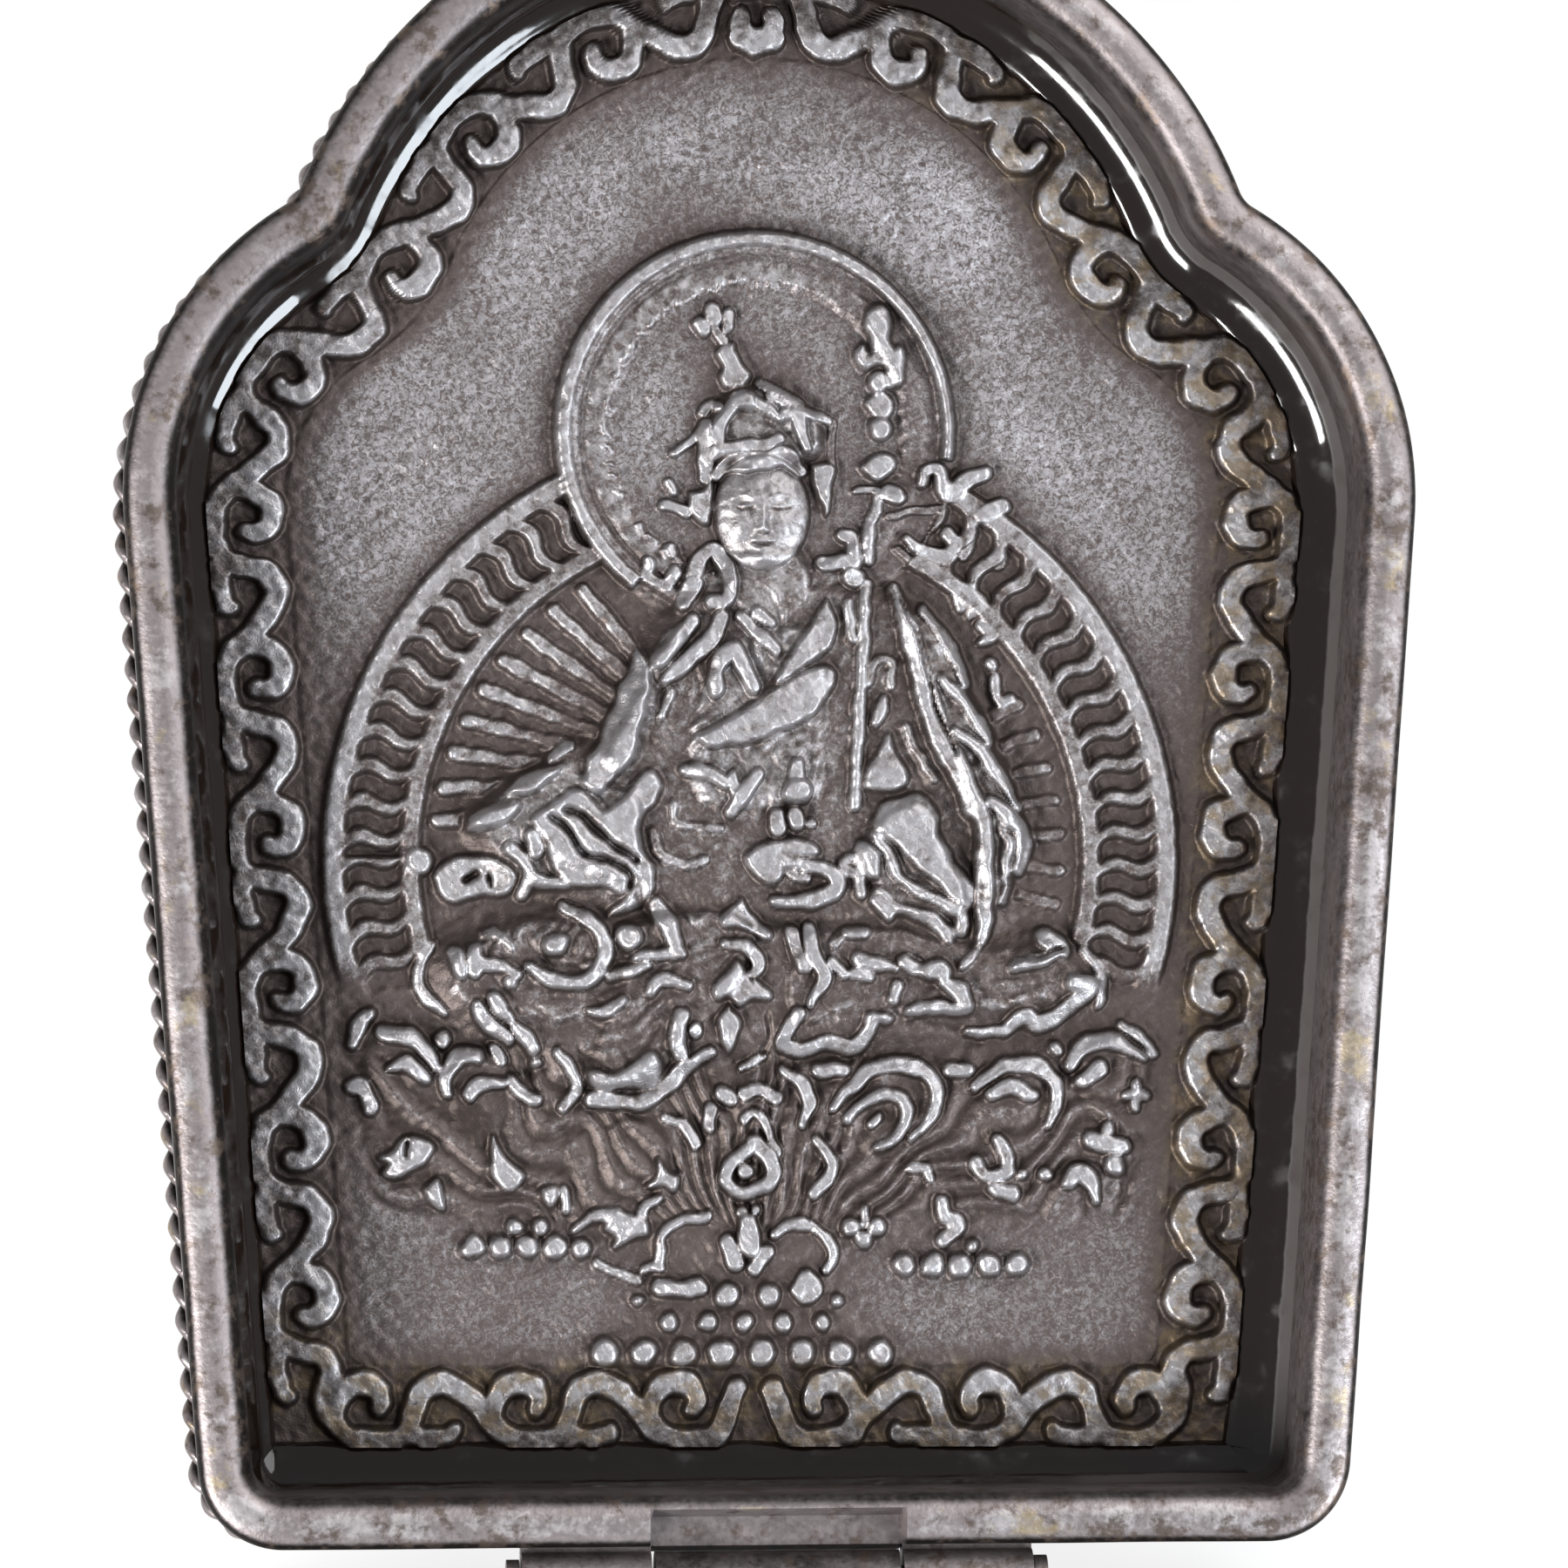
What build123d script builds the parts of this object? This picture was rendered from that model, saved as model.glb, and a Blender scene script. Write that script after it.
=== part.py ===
"""Ghau amulet box: a small hinged shrine pendant, lying open on its back.

The tray holds a stamped relief plate, bedded in dark adhesive. The lid is hinged along the straight
bottom edge and lies face down beyond it. Lugs at the two crowns line up when the box is closed, and
the neck cord that passes through them keeps it shut.

Frame: X across the box, Y from the hinge towards the tray's crown, Z up. The origin is on the table
under the hinge pin. All sizes are millimetres.
"""

import math
import os

from build123d import *

# Outline of the box: a tapered body, two round shoulders and a round crown, risen from the base edge
BASE_WIDTH = 30.8
SHOULDER_X = 8.4
SHOULDER_RISE = 28.35
SHOULDER_R = 9.1
CROWN_RISE = 31.5
CROWN_R = 13.7
CORNER_R = 2.3
NOTCH_R = 0.9

# Tray and lid shells
TRAY_HEIGHT = 6.4
WALL = 1.45
BACK_PLATE = 1.1
LID_PLATE = 1.2
LID_FRAME = 2.4
LID_RECESS = 0.5
RIM_BREAK = 0.2
SEAM_GAP = 0.1

# Twisted wire over the seam between a wall and its plate
ROPE_R = 0.4
ROPE_SINK = 0.1
ROPE_GAP = 0.03

# Hinge along the base edge
WALL_TO_AXIS = 0.95
HINGE_DROP = 0.9
KNUCKLE_R = 0.8
PIN_R = 0.36
PIN_CLEARANCE = 0.04
PIN_HEAD_R = 0.62
PIN_HEAD = 0.35
PIN_END_GAP = 0.05
LID_KNUCKLE = 6.6
TRAY_KNUCKLE = 3.5
KNUCKLE_GAP = 0.1
LEAF = 2.0
LEAF_THICKNESS = 0.75
LEAF_CLEARANCE = 0.05

# Lugs at the crowns
LUG_R = 1.7
LUG_BORE_R = 1.0
TRAY_LUG = 1.9
LID_LUG = 2.7
LUG_GAP = 0.1
LUG_STAND_OFF = 1.55
LUG_CLEARANCE = 0.3

# Relief plate and its bed of adhesive
PLATE = 1.0
BED_WIDTH = 1.0
BED_RISE = 0.8
BED_LIP = 0.06

# Scroll border of the relief plate: a wave with a curl in each of its dips
SCROLL_PITCH = 4.4
SCROLL_STEM = 0.5
SCROLL_HEIGHT = 0.4
SCROLL_EDGE = 0.15
SCROLL_MIDDLE = 0.95
SCROLL_SWING = 0.55
SCROLL_DIP = 1.8
CURL_R = 0.55
CURL_TURN = 230.0

# Halo and aureole behind the figure, risen from the plate's lower edge
HALO_RISE = 27.8
HALO_R = 5.4
HALO_RIM = 0.5
HALO_RIM_HEIGHT = 0.4
HALO_HEIGHT = 0.2
AUREOLE_RISE = 16.1
AUREOLE_R = 11.8
AUREOLE_BAND = 2.5
AUREOLE_LINE = 0.5
AUREOLE_HEIGHT = 0.35
RUNG_WIDTH = 0.4
RAY_R = 7.0
RAY_LENGTH = 3.0
RAY_WIDTH = 0.3
RAYS = 60

# Seated figure, risen from the plate's lower edge
RELIEF_TAPER = 25.0
KNEES_RISE = 12.9
KNEES_RX = 9.3
KNEES_RY = 2.5
KNEES_HEIGHT = 0.7
ROBE_RISE = 14.6
ROBE_LENGTH = 9.6
ROBE_HEM = 14.8
ROBE_SHOULDER = 3.4
ROBE_HEIGHT = 0.55
CHEST_HEM = 7.4
CHEST_SHOULDER = 3.0
CHEST_HEIGHT = 0.9
HEAD_RISE = 25.9
HEAD_RX = 1.35
HEAD_RY = 1.85
HEAD_HEIGHT = 1.0
HAT_RISE = 27.0
HAT_WIDTH = 4.4
HAT_LENGTH = 2.8
HAT_HEIGHT = 0.8
FINIAL_RISE = 30.4
FINIAL_R = 0.5
STAFF_X = 3.35
STAFF_RISE = 22.6
STAFF_LENGTH = 17.0
STAFF_WIDTH = 0.5
STAFF_HEIGHT = 0.75

# Lotus throne and offering beads, risen from the plate's lower edge
PETAL_RX = 1.4
PETAL_RY = 1.3
PETAL_PITCH = 3.0
PETAL_HEIGHT = 0.55
UPPER_PETALS = 7
UPPER_PETAL_RISE = 9.8
LOWER_PETALS = 6
LOWER_PETAL_RISE = 7.9
STEM_WIDTH = 5.0
STEM_LENGTH = 6.2
STEM_RISE = 5.2
STEM_HEIGHT = 0.3
BEAD_R = 0.42
BEAD_PITCH = 1.05
BEAD_ROW = 8
BEAD_RISE = 2.7
SIDE_BEADS = 5
SIDE_BEAD_PITCH = 0.8
SIDE_BEAD_X = 5.9
SIDE_BEAD_RISE = 5.3

# Lotus medallion in the lid's recess, risen from the base edge
MEDALLION_RISE = 25.0
MEDALLION_R = 9.4
MEDALLION_RING = 0.8
MEDALLION_PETALS = 8
MEDALLION_PETAL_RX = 2.7
MEDALLION_PETAL_RY = 1.6
MEDALLION_PETAL_SINK = 0.3
MEDALLION_BOSS_R = 2.4
MEDALLION_DISC = 0.2
MEDALLION_HEIGHT = 0.42

# Levels and places that follow from the sizes above
TRAY = 1
LID = -1
AXIS_Z = TRAY_HEIGHT - HINGE_DROP
LID_HEIGHT = 2 * AXIS_Z - TRAY_HEIGHT - SEAM_GAP
LID_LUG_Z = 2 * AXIS_Z - TRAY_HEIGHT
LUG_Y = WALL_TO_AXIS + CROWN_RISE + CROWN_R + LUG_STAND_OFF
KNUCKLE_BORE_R = PIN_R + PIN_CLEARANCE
TRAY_KNUCKLE_X = LID_KNUCKLE / 2 + KNUCKLE_GAP
HINGE_END_X = TRAY_KNUCKLE_X + TRAY_KNUCKLE
TRAY_LUG_X = LID_LUG / 2 + LUG_GAP
PLATE_INSET = WALL + BED_WIDTH
PLATE_Y = WALL_TO_AXIS + PLATE_INSET
FIELD_Z = BACK_PLATE + PLATE
FIELD = Plane((0, PLATE_Y, FIELD_Z))


def box_outline(inset=0.0, side=TRAY):
    """Outline of the tray, or of the opened lid, drawn in from the outer face by the inset."""
    base = Vector(BASE_WIDTH / 2, WALL_TO_AXIS)
    shoulder_y = WALL_TO_AXIS + SHOULDER_RISE
    crown_y = WALL_TO_AXIS + CROWN_RISE
    reach = base - Vector(SHOULDER_X, shoulder_y)
    tangent = math.degrees(math.atan2(reach.Y, reach.X) + math.acos(SHOULDER_R / reach.length))
    span = math.hypot(SHOULDER_X, crown_y - shoulder_y)
    to_crown = math.atan2(crown_y - shoulder_y, -SHOULDER_X)
    opening = math.acos((span**2 + SHOULDER_R**2 - CROWN_R**2) / (2 * span * SHOULDER_R))
    notch = math.degrees(to_crown - opening)
    with BuildSketch() as outline:
        with BuildLine():
            shoulder = CenterArc((SHOULDER_X, shoulder_y), SHOULDER_R, tangent, notch - tangent)
            corner = shoulder @ 1
            start = math.degrees(math.atan2(corner.Y - crown_y, corner.X))
            CenterArc((0, crown_y), CROWN_R, start, 90 - start)
            Line(base, shoulder @ 0)
            mirror(about=Plane.YZ)
            Line((-base.X, base.Y), base)
        make_face()
        fillet(outline.vertices().group_by(Axis.Y)[-1], NOTCH_R)
        fillet(outline.vertices().group_by(Axis.Y)[0], CORNER_R)
        if inset:
            offset(amount=-inset, mode=Mode.REPLACE)
    if side == LID:
        return mirror(outline.sketch, about=Plane.XZ, mode=Mode.PRIVATE)
    return outline.sketch


def rope_ring(radius, z, side):
    """Round wire of the given radius, run round the box on the seam at height z."""
    path = box_outline(ROPE_SINK, side).wire().moved(Location((0, 0, z)))
    with BuildPart() as ring:
        with BuildSketch(Plane(path @ 0, z_dir=path % 0)):
            Circle(radius)
        sweep(path=path)
    return ring.part


def wall_band(side, plate, height):
    """Wall standing on its plate, with broken rim edges and a groove for the seam wire."""
    with BuildPart() as band:
        with BuildSketch(Plane.XY.offset(plate)):
            add(box_outline(side=side))
            add(box_outline(WALL, side), mode=Mode.SUBTRACT)
        extrude(amount=height - plate)
        chamfer(band.edges().group_by(Axis.Z)[-1], RIM_BREAK)
        add(rope_ring(ROPE_R + ROPE_GAP, plate, side), mode=Mode.SUBTRACT)
    return band.part


def crown_lug(start_x, width, side, axis_z, rim_z):
    """Lug that meets the crown's wall below the rim, and stays clear of the other half above it."""
    with BuildPart() as lug:
        with BuildSketch(Plane.YZ.offset(start_x)):
            with Locations((side * LUG_Y, axis_z)):
                Circle(LUG_R)
            with Locations((side * (LUG_Y - LUG_R), axis_z - LUG_R / 2)):
                Rectangle(2 * LUG_R, LUG_R)
            with Locations((side * LUG_Y, axis_z)):
                Circle(LUG_BORE_R, mode=Mode.SUBTRACT)
        extrude(amount=width)
        with BuildSketch():
            add(box_outline(side=side))
        extrude(amount=rim_z, mode=Mode.SUBTRACT)
        with BuildSketch(Plane.XY.offset(rim_z)):
            add(box_outline(-LUG_CLEARANCE, side))
        extrude(amount=2 * LUG_R, mode=Mode.SUBTRACT)
    return lug.part


def scroll_border():
    """Running scroll along the plate's edge: two arcs a wave and a curl, laid on one half and mirrored."""
    path = box_outline(PLATE_INSET).wire()
    middle = path.param_at_point(Vector(0, PLATE_Y))
    units = 2 * round(path.length / SCROLL_PITCH / 2)
    half = path.length / units / 2
    dip_end = SCROLL_DIP - half
    low = SCROLL_MIDDLE - SCROLL_SWING
    high = SCROLL_MIDDLE + SCROLL_SWING
    dip = ThreePointArc(
        (-half, SCROLL_MIDDLE), ((dip_end - half) / 2, low), (dip_end, SCROLL_MIDDLE), mode=Mode.PRIVATE
    )
    rise = ThreePointArc(
        (dip_end, SCROLL_MIDDLE), ((dip_end + half) / 2, high), (half, SCROLL_MIDDLE), mode=Mode.PRIVATE
    )
    curl = CenterArc((CURL_R - half, SCROLL_MIDDLE), CURL_R, 0, CURL_TURN, mode=Mode.PRIVATE)
    spots = []
    for unit in range(units // 2):
        share = (middle - (unit + 0.5) / units) % 1
        along = path % share
        spots.append(Location(path @ share, (0, 0, math.degrees(math.atan2(along.Y, along.X)))))
    with BuildSketch() as border:
        with Locations(*spots):
            SlotArc(dip, SCROLL_STEM)
            SlotArc(rise, SCROLL_STEM)
            SlotArc(curl, SCROLL_STEM)
        mirror(about=Plane.YZ)
        add(box_outline(PLATE_INSET + SCROLL_EDGE), mode=Mode.INTERSECT)
    return border.sketch


# Back plate of the tray, grooved for the seam wire
with BuildPart() as tray_back_plate:
    with BuildSketch():
        add(box_outline())
    extrude(amount=BACK_PLATE)
    add(rope_ring(ROPE_R + ROPE_GAP, BACK_PLATE, TRAY), mode=Mode.SUBTRACT)

# Wall of the tray, with a notch in its rim where the lid's hinge leaf comes to lie
with BuildPart() as tray_wall_band:
    add(wall_band(TRAY, BACK_PLATE, TRAY_HEIGHT))
    with BuildSketch(Plane.XY.offset(AXIS_Z - LEAF_CLEARANCE)):
        with Locations((0, WALL_TO_AXIS)):
            Rectangle(2 * TRAY_KNUCKLE_X, 2 * LEAF_THICKNESS + 2 * LEAF_CLEARANCE)
    extrude(amount=TRAY_HEIGHT, mode=Mode.SUBTRACT)

# Twisted wire round the tray
with BuildPart() as tray_rope_wire:
    add(rope_ring(ROPE_R, BACK_PLATE, TRAY))

# Stamped relief plate: field, scroll border, halo, aureole, figure, throne and offering beads
with BuildPart() as relief_plate:
    with BuildSketch(Plane.XY.offset(BACK_PLATE)):
        add(box_outline(PLATE_INSET))
    extrude(amount=PLATE)
    with BuildSketch(Plane.XY.offset(FIELD_Z)):
        add(scroll_border())
    extrude(amount=SCROLL_HEIGHT)
    with BuildSketch(FIELD):
        with Locations((0, HALO_RISE)):
            Circle(HALO_R)
    extrude(amount=HALO_HEIGHT)
    with BuildSketch(FIELD):
        with Locations((0, HALO_RISE)):
            Circle(HALO_R)
            Circle(HALO_R - HALO_RIM, mode=Mode.SUBTRACT)
    extrude(amount=HALO_RIM_HEIGHT)
    with BuildSketch(FIELD):
        with Locations((0, AUREOLE_RISE)):
            Circle(AUREOLE_R)
            Circle(AUREOLE_R - AUREOLE_LINE, mode=Mode.SUBTRACT)
            Circle(AUREOLE_R - AUREOLE_BAND + AUREOLE_LINE)
            Circle(AUREOLE_R - AUREOLE_BAND, mode=Mode.SUBTRACT)
            with PolarLocations(AUREOLE_R - AUREOLE_BAND / 2, RAYS):
                Rectangle(AUREOLE_BAND - AUREOLE_LINE, RUNG_WIDTH)
            with PolarLocations(RAY_R, RAYS):
                Rectangle(RAY_LENGTH, RAY_WIDTH)
        with Locations((0, UPPER_PETAL_RISE)):
            Rectangle(2 * AUREOLE_R, 2 * AUREOLE_R, align=(Align.CENTER, Align.MIN), mode=Mode.INTERSECT)
    extrude(amount=AUREOLE_HEIGHT)
    with BuildSketch(FIELD):
        with Locations((0, KNEES_RISE)):
            Ellipse(KNEES_RX, KNEES_RY)
    extrude(amount=KNEES_HEIGHT, taper=RELIEF_TAPER)
    with BuildSketch(FIELD):
        with BuildLine():
            Polyline(
                (-ROBE_HEM / 2, ROBE_RISE),
                (ROBE_HEM / 2, ROBE_RISE),
                (ROBE_SHOULDER, ROBE_RISE + ROBE_LENGTH),
                (-ROBE_SHOULDER, ROBE_RISE + ROBE_LENGTH),
                close=True,
            )
        make_face()
    extrude(amount=ROBE_HEIGHT, taper=RELIEF_TAPER)
    with BuildSketch(FIELD):
        with BuildLine():
            Polyline(
                (-CHEST_HEM / 2, ROBE_RISE),
                (CHEST_HEM / 2, ROBE_RISE),
                (CHEST_SHOULDER, ROBE_RISE + ROBE_LENGTH),
                (-CHEST_SHOULDER, ROBE_RISE + ROBE_LENGTH),
                close=True,
            )
        make_face()
    extrude(amount=CHEST_HEIGHT, taper=RELIEF_TAPER)
    with BuildSketch(FIELD):
        with Locations((0, HEAD_RISE)):
            Ellipse(HEAD_RX, HEAD_RY)
    extrude(amount=HEAD_HEIGHT, taper=RELIEF_TAPER)
    with BuildSketch(FIELD):
        with BuildLine():
            Polyline(
                (-HAT_WIDTH / 2, HAT_RISE),
                (HAT_WIDTH / 2, HAT_RISE),
                (0, HAT_RISE + HAT_LENGTH),
                close=True,
            )
        make_face()
        with Locations((0, FINIAL_RISE)):
            Circle(FINIAL_R)
    extrude(amount=HAT_HEIGHT)
    with BuildSketch(FIELD):
        with Locations((STAFF_X, STAFF_RISE)):
            SlotOverall(STAFF_LENGTH, STAFF_WIDTH, rotation=90)
    extrude(amount=STAFF_HEIGHT)
    with BuildSketch(FIELD):
        with Locations((0, UPPER_PETAL_RISE)):
            with GridLocations(PETAL_PITCH, 0, UPPER_PETALS, 1):
                Ellipse(PETAL_RX, PETAL_RY)
        with Locations((0, LOWER_PETAL_RISE)):
            with GridLocations(PETAL_PITCH, 0, LOWER_PETALS, 1):
                Ellipse(PETAL_RX, PETAL_RY)
    extrude(amount=PETAL_HEIGHT)
    with BuildSketch(FIELD):
        with Locations((0, STEM_RISE)):
            Rectangle(STEM_WIDTH, STEM_LENGTH)
    extrude(amount=STEM_HEIGHT)
    with Locations(FIELD):
        with Locations((0, BEAD_RISE)):
            with GridLocations(BEAD_PITCH, 0, BEAD_ROW, 1):
                Sphere(BEAD_R)
        with Locations((-SIDE_BEAD_X, SIDE_BEAD_RISE), (SIDE_BEAD_X, SIDE_BEAD_RISE)):
            with GridLocations(SIDE_BEAD_PITCH, 0, SIDE_BEADS, 1):
                Sphere(BEAD_R)

# Dark adhesive round the plate, highest at the wall and sloping down to the plate's edge
with BuildPart() as plate_adhesive:
    with BuildSketch(Plane.XY.offset(BACK_PLATE)):
        add(box_outline(WALL))
        add(box_outline(PLATE_INSET), mode=Mode.SUBTRACT)
    extrude(amount=PLATE + BED_RISE)
    with BuildSketch(Plane.XY.offset(FIELD_Z + BED_LIP)):
        add(box_outline(PLATE_INSET))
    bed_slope = math.degrees(math.atan2(BED_WIDTH - BED_LIP, BED_RISE - BED_LIP))
    extrude(amount=BED_RISE - BED_LIP, taper=-bed_slope, mode=Mode.SUBTRACT)

# Two hinge knuckles on the tray, each with a web to the wall
with BuildPart() as tray_hinge_knuckles:
    with BuildSketch(Plane.YZ.offset(TRAY_KNUCKLE_X)):
        with Locations((0, AXIS_Z)):
            Circle(KNUCKLE_R)
        with Locations((WALL_TO_AXIS / 2, AXIS_Z - KNUCKLE_R / 2)):
            Rectangle(WALL_TO_AXIS, KNUCKLE_R)
        with Locations((0, AXIS_Z)):
            Circle(KNUCKLE_BORE_R, mode=Mode.SUBTRACT)
    extrude(amount=TRAY_KNUCKLE)
    mirror(about=Plane.YZ)

# Hinge pin with a riveted head at each end
with BuildPart() as hinge_pin:
    with BuildSketch(Plane.YZ):
        with Locations((0, AXIS_Z)):
            Circle(PIN_R)
    extrude(amount=HINGE_END_X + PIN_END_GAP + PIN_HEAD / 2, both=True)
    with BuildSketch(Plane.YZ.offset(HINGE_END_X + PIN_END_GAP)):
        with Locations((0, AXIS_Z)):
            Circle(PIN_HEAD_R)
    head = extrude(amount=PIN_HEAD)
    mirror(head, about=Plane.YZ)

# Two lugs on the tray's crown, one each side of the lid's lug
with BuildPart() as tray_bail_lugs:
    add(crown_lug(TRAY_LUG_X, TRAY_LUG, TRAY, TRAY_HEIGHT, TRAY_HEIGHT))
    mirror(about=Plane.YZ)

# Face plate of the lid, with a sunk field inside its frame on the outer side
with BuildPart() as lid_face_plate:
    with BuildSketch():
        add(box_outline(side=LID))
    extrude(amount=LID_PLATE)
    with BuildSketch():
        add(box_outline(LID_FRAME, LID))
    extrude(amount=LID_RECESS, mode=Mode.SUBTRACT)
    add(rope_ring(ROPE_R + ROPE_GAP, LID_PLATE, LID), mode=Mode.SUBTRACT)

# Wall of the lid
with BuildPart() as lid_wall_band:
    add(wall_band(LID, LID_PLATE, LID_HEIGHT))

# Twisted wire round the lid
with BuildPart() as lid_rope_wire:
    add(rope_ring(ROPE_R, LID_PLATE, LID))

# Lotus medallion soldered into the lid's recess, its face towards the table
with BuildPart() as lid_medallion:
    medallion = Plane((0, -WALL_TO_AXIS - MEDALLION_RISE, LID_RECESS), z_dir=(0, 0, -1))
    with BuildSketch(medallion):
        Circle(MEDALLION_R)
    extrude(amount=MEDALLION_DISC)
    with BuildSketch(medallion):
        Circle(MEDALLION_R)
        Circle(MEDALLION_R - MEDALLION_RING, mode=Mode.SUBTRACT)
        with PolarLocations(MEDALLION_BOSS_R + MEDALLION_PETAL_RX - MEDALLION_PETAL_SINK, MEDALLION_PETALS):
            Ellipse(MEDALLION_PETAL_RX, MEDALLION_PETAL_RY)
        Circle(MEDALLION_BOSS_R)
    extrude(amount=MEDALLION_HEIGHT)

# Hinge knuckle of the lid, with a leaf that lies on the lid's wall
with BuildPart() as lid_hinge_knuckle:
    with BuildSketch(Plane.YZ.offset(-LID_KNUCKLE / 2)):
        with Locations((0, AXIS_Z)):
            Circle(KNUCKLE_R)
        with Locations((-WALL_TO_AXIS, LID_HEIGHT - LEAF)):
            Rectangle(LEAF_THICKNESS, AXIS_Z - LID_HEIGHT + LEAF, align=(Align.MIN, Align.MIN))
        with Locations((0, AXIS_Z)):
            Circle(KNUCKLE_BORE_R, mode=Mode.SUBTRACT)
    extrude(amount=LID_KNUCKLE)

# Lug on the lid's crown, which closes into the gap between the tray's lugs
with BuildPart() as lid_bail_lug:
    add(crown_lug(-LID_LUG / 2, LID_LUG, LID, LID_LUG_Z, LID_HEIGHT))

tray_back_plate.part.label = "tray_back_plate"
tray_wall_band.part.label = "tray_wall_band"
tray_rope_wire.part.label = "tray_rope_wire"
relief_plate.part.label = "relief_plate"
plate_adhesive.part.label = "plate_adhesive"
tray_hinge_knuckles.part.label = "tray_hinge_knuckles"
hinge_pin.part.label = "hinge_pin"
tray_bail_lugs.part.label = "tray_bail_lugs"
lid_face_plate.part.label = "lid_face_plate"
lid_wall_band.part.label = "lid_wall_band"
lid_rope_wire.part.label = "lid_rope_wire"
lid_medallion.part.label = "lid_medallion"
lid_hinge_knuckle.part.label = "lid_hinge_knuckle"
lid_bail_lug.part.label = "lid_bail_lug"

os.makedirs("parts", exist_ok=True)
export_step(tray_back_plate.part, "parts/tray_back_plate.step")
export_step(tray_wall_band.part, "parts/tray_wall_band.step")
export_step(tray_rope_wire.part, "parts/tray_rope_wire.step")
export_step(relief_plate.part, "parts/relief_plate.step")
export_step(plate_adhesive.part, "parts/plate_adhesive.step")
export_step(tray_hinge_knuckles.part, "parts/tray_hinge_knuckles.step")
export_step(hinge_pin.part, "parts/hinge_pin.step")
export_step(tray_bail_lugs.part, "parts/tray_bail_lugs.step")
export_step(lid_face_plate.part, "parts/lid_face_plate.step")
export_step(lid_wall_band.part, "parts/lid_wall_band.step")
export_step(lid_rope_wire.part, "parts/lid_rope_wire.step")
export_step(lid_medallion.part, "parts/lid_medallion.step")
export_step(lid_hinge_knuckle.part, "parts/lid_hinge_knuckle.step")
export_step(lid_bail_lug.part, "parts/lid_bail_lug.step")
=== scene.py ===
"""Ghau amulet box, dressed: worn silver shells, twisted seam wires, dark adhesive and a chased relief plate.

Shapes are worked out in millimetres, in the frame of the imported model, and go into the meshes in metres.
"""

import math

import bpy
import numpy as np
from mathutils import Matrix, Vector


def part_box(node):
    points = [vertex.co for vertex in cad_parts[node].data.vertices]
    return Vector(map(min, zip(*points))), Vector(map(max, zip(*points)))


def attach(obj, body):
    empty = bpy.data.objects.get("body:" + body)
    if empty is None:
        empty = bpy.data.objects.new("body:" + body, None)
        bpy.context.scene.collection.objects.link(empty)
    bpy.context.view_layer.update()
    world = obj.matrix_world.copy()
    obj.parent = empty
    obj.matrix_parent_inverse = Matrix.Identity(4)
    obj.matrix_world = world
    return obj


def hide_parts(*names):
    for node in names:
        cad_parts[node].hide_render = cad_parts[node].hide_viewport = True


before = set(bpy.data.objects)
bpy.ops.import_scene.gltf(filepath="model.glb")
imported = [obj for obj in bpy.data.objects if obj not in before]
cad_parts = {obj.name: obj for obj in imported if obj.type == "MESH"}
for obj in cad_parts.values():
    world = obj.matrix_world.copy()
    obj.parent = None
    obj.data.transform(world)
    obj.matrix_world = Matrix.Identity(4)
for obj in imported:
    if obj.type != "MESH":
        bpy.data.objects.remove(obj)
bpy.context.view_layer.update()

# Tray wall: a band of worn silver strip bent to the box's outline and soldered to the back plate.
# Its rim is rubbed round and mottled, with a painted dark line of shade on its outer edge; the inside is
# dark with tarnish, painted darker on the left as shade and paler on the right as light, and a notch in the
# rim over the hinge leaves room for the lid's leaf.
MM = 0.001
BASE_WIDTH = 30.8
WALL_TO_AXIS = 0.95
SHOULDER = np.array([8.4, WALL_TO_AXIS + 28.35])
SHOULDER_R = 9.1
CROWN = np.array([0.0, WALL_TO_AXIS + 31.5])
CROWN_R = 13.7
CORNER_R = 2.3
NOTCH_R = 0.9
WALL = 1.45
TRAY_HEIGHT = 6.4
BACK_PLATE = 1.1
LEAF_NOTCH_X = 3.4
LEAF_NOTCH_DEPTH = 0.8
LEAF_NOTCH_FLOOR = 5.45
TRAY = 1
LID = -1
RIM_RINGS = 1500
INNER_FACE = 1.1
SHARP_EDGE = math.radians(42)


def arc(centre, radius, start, end, count):
    """Points on a circle from one angle to another, the last one left to the next stretch."""
    angle = np.linspace(start, end, count, endpoint=False)
    return np.stack([centre[0] + radius * np.cos(angle), centre[1] + radius * np.sin(angle)], 1)


def heading(vector):
    """Angle of a vector from the X axis."""
    return math.atan2(vector[1], vector[0])


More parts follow.
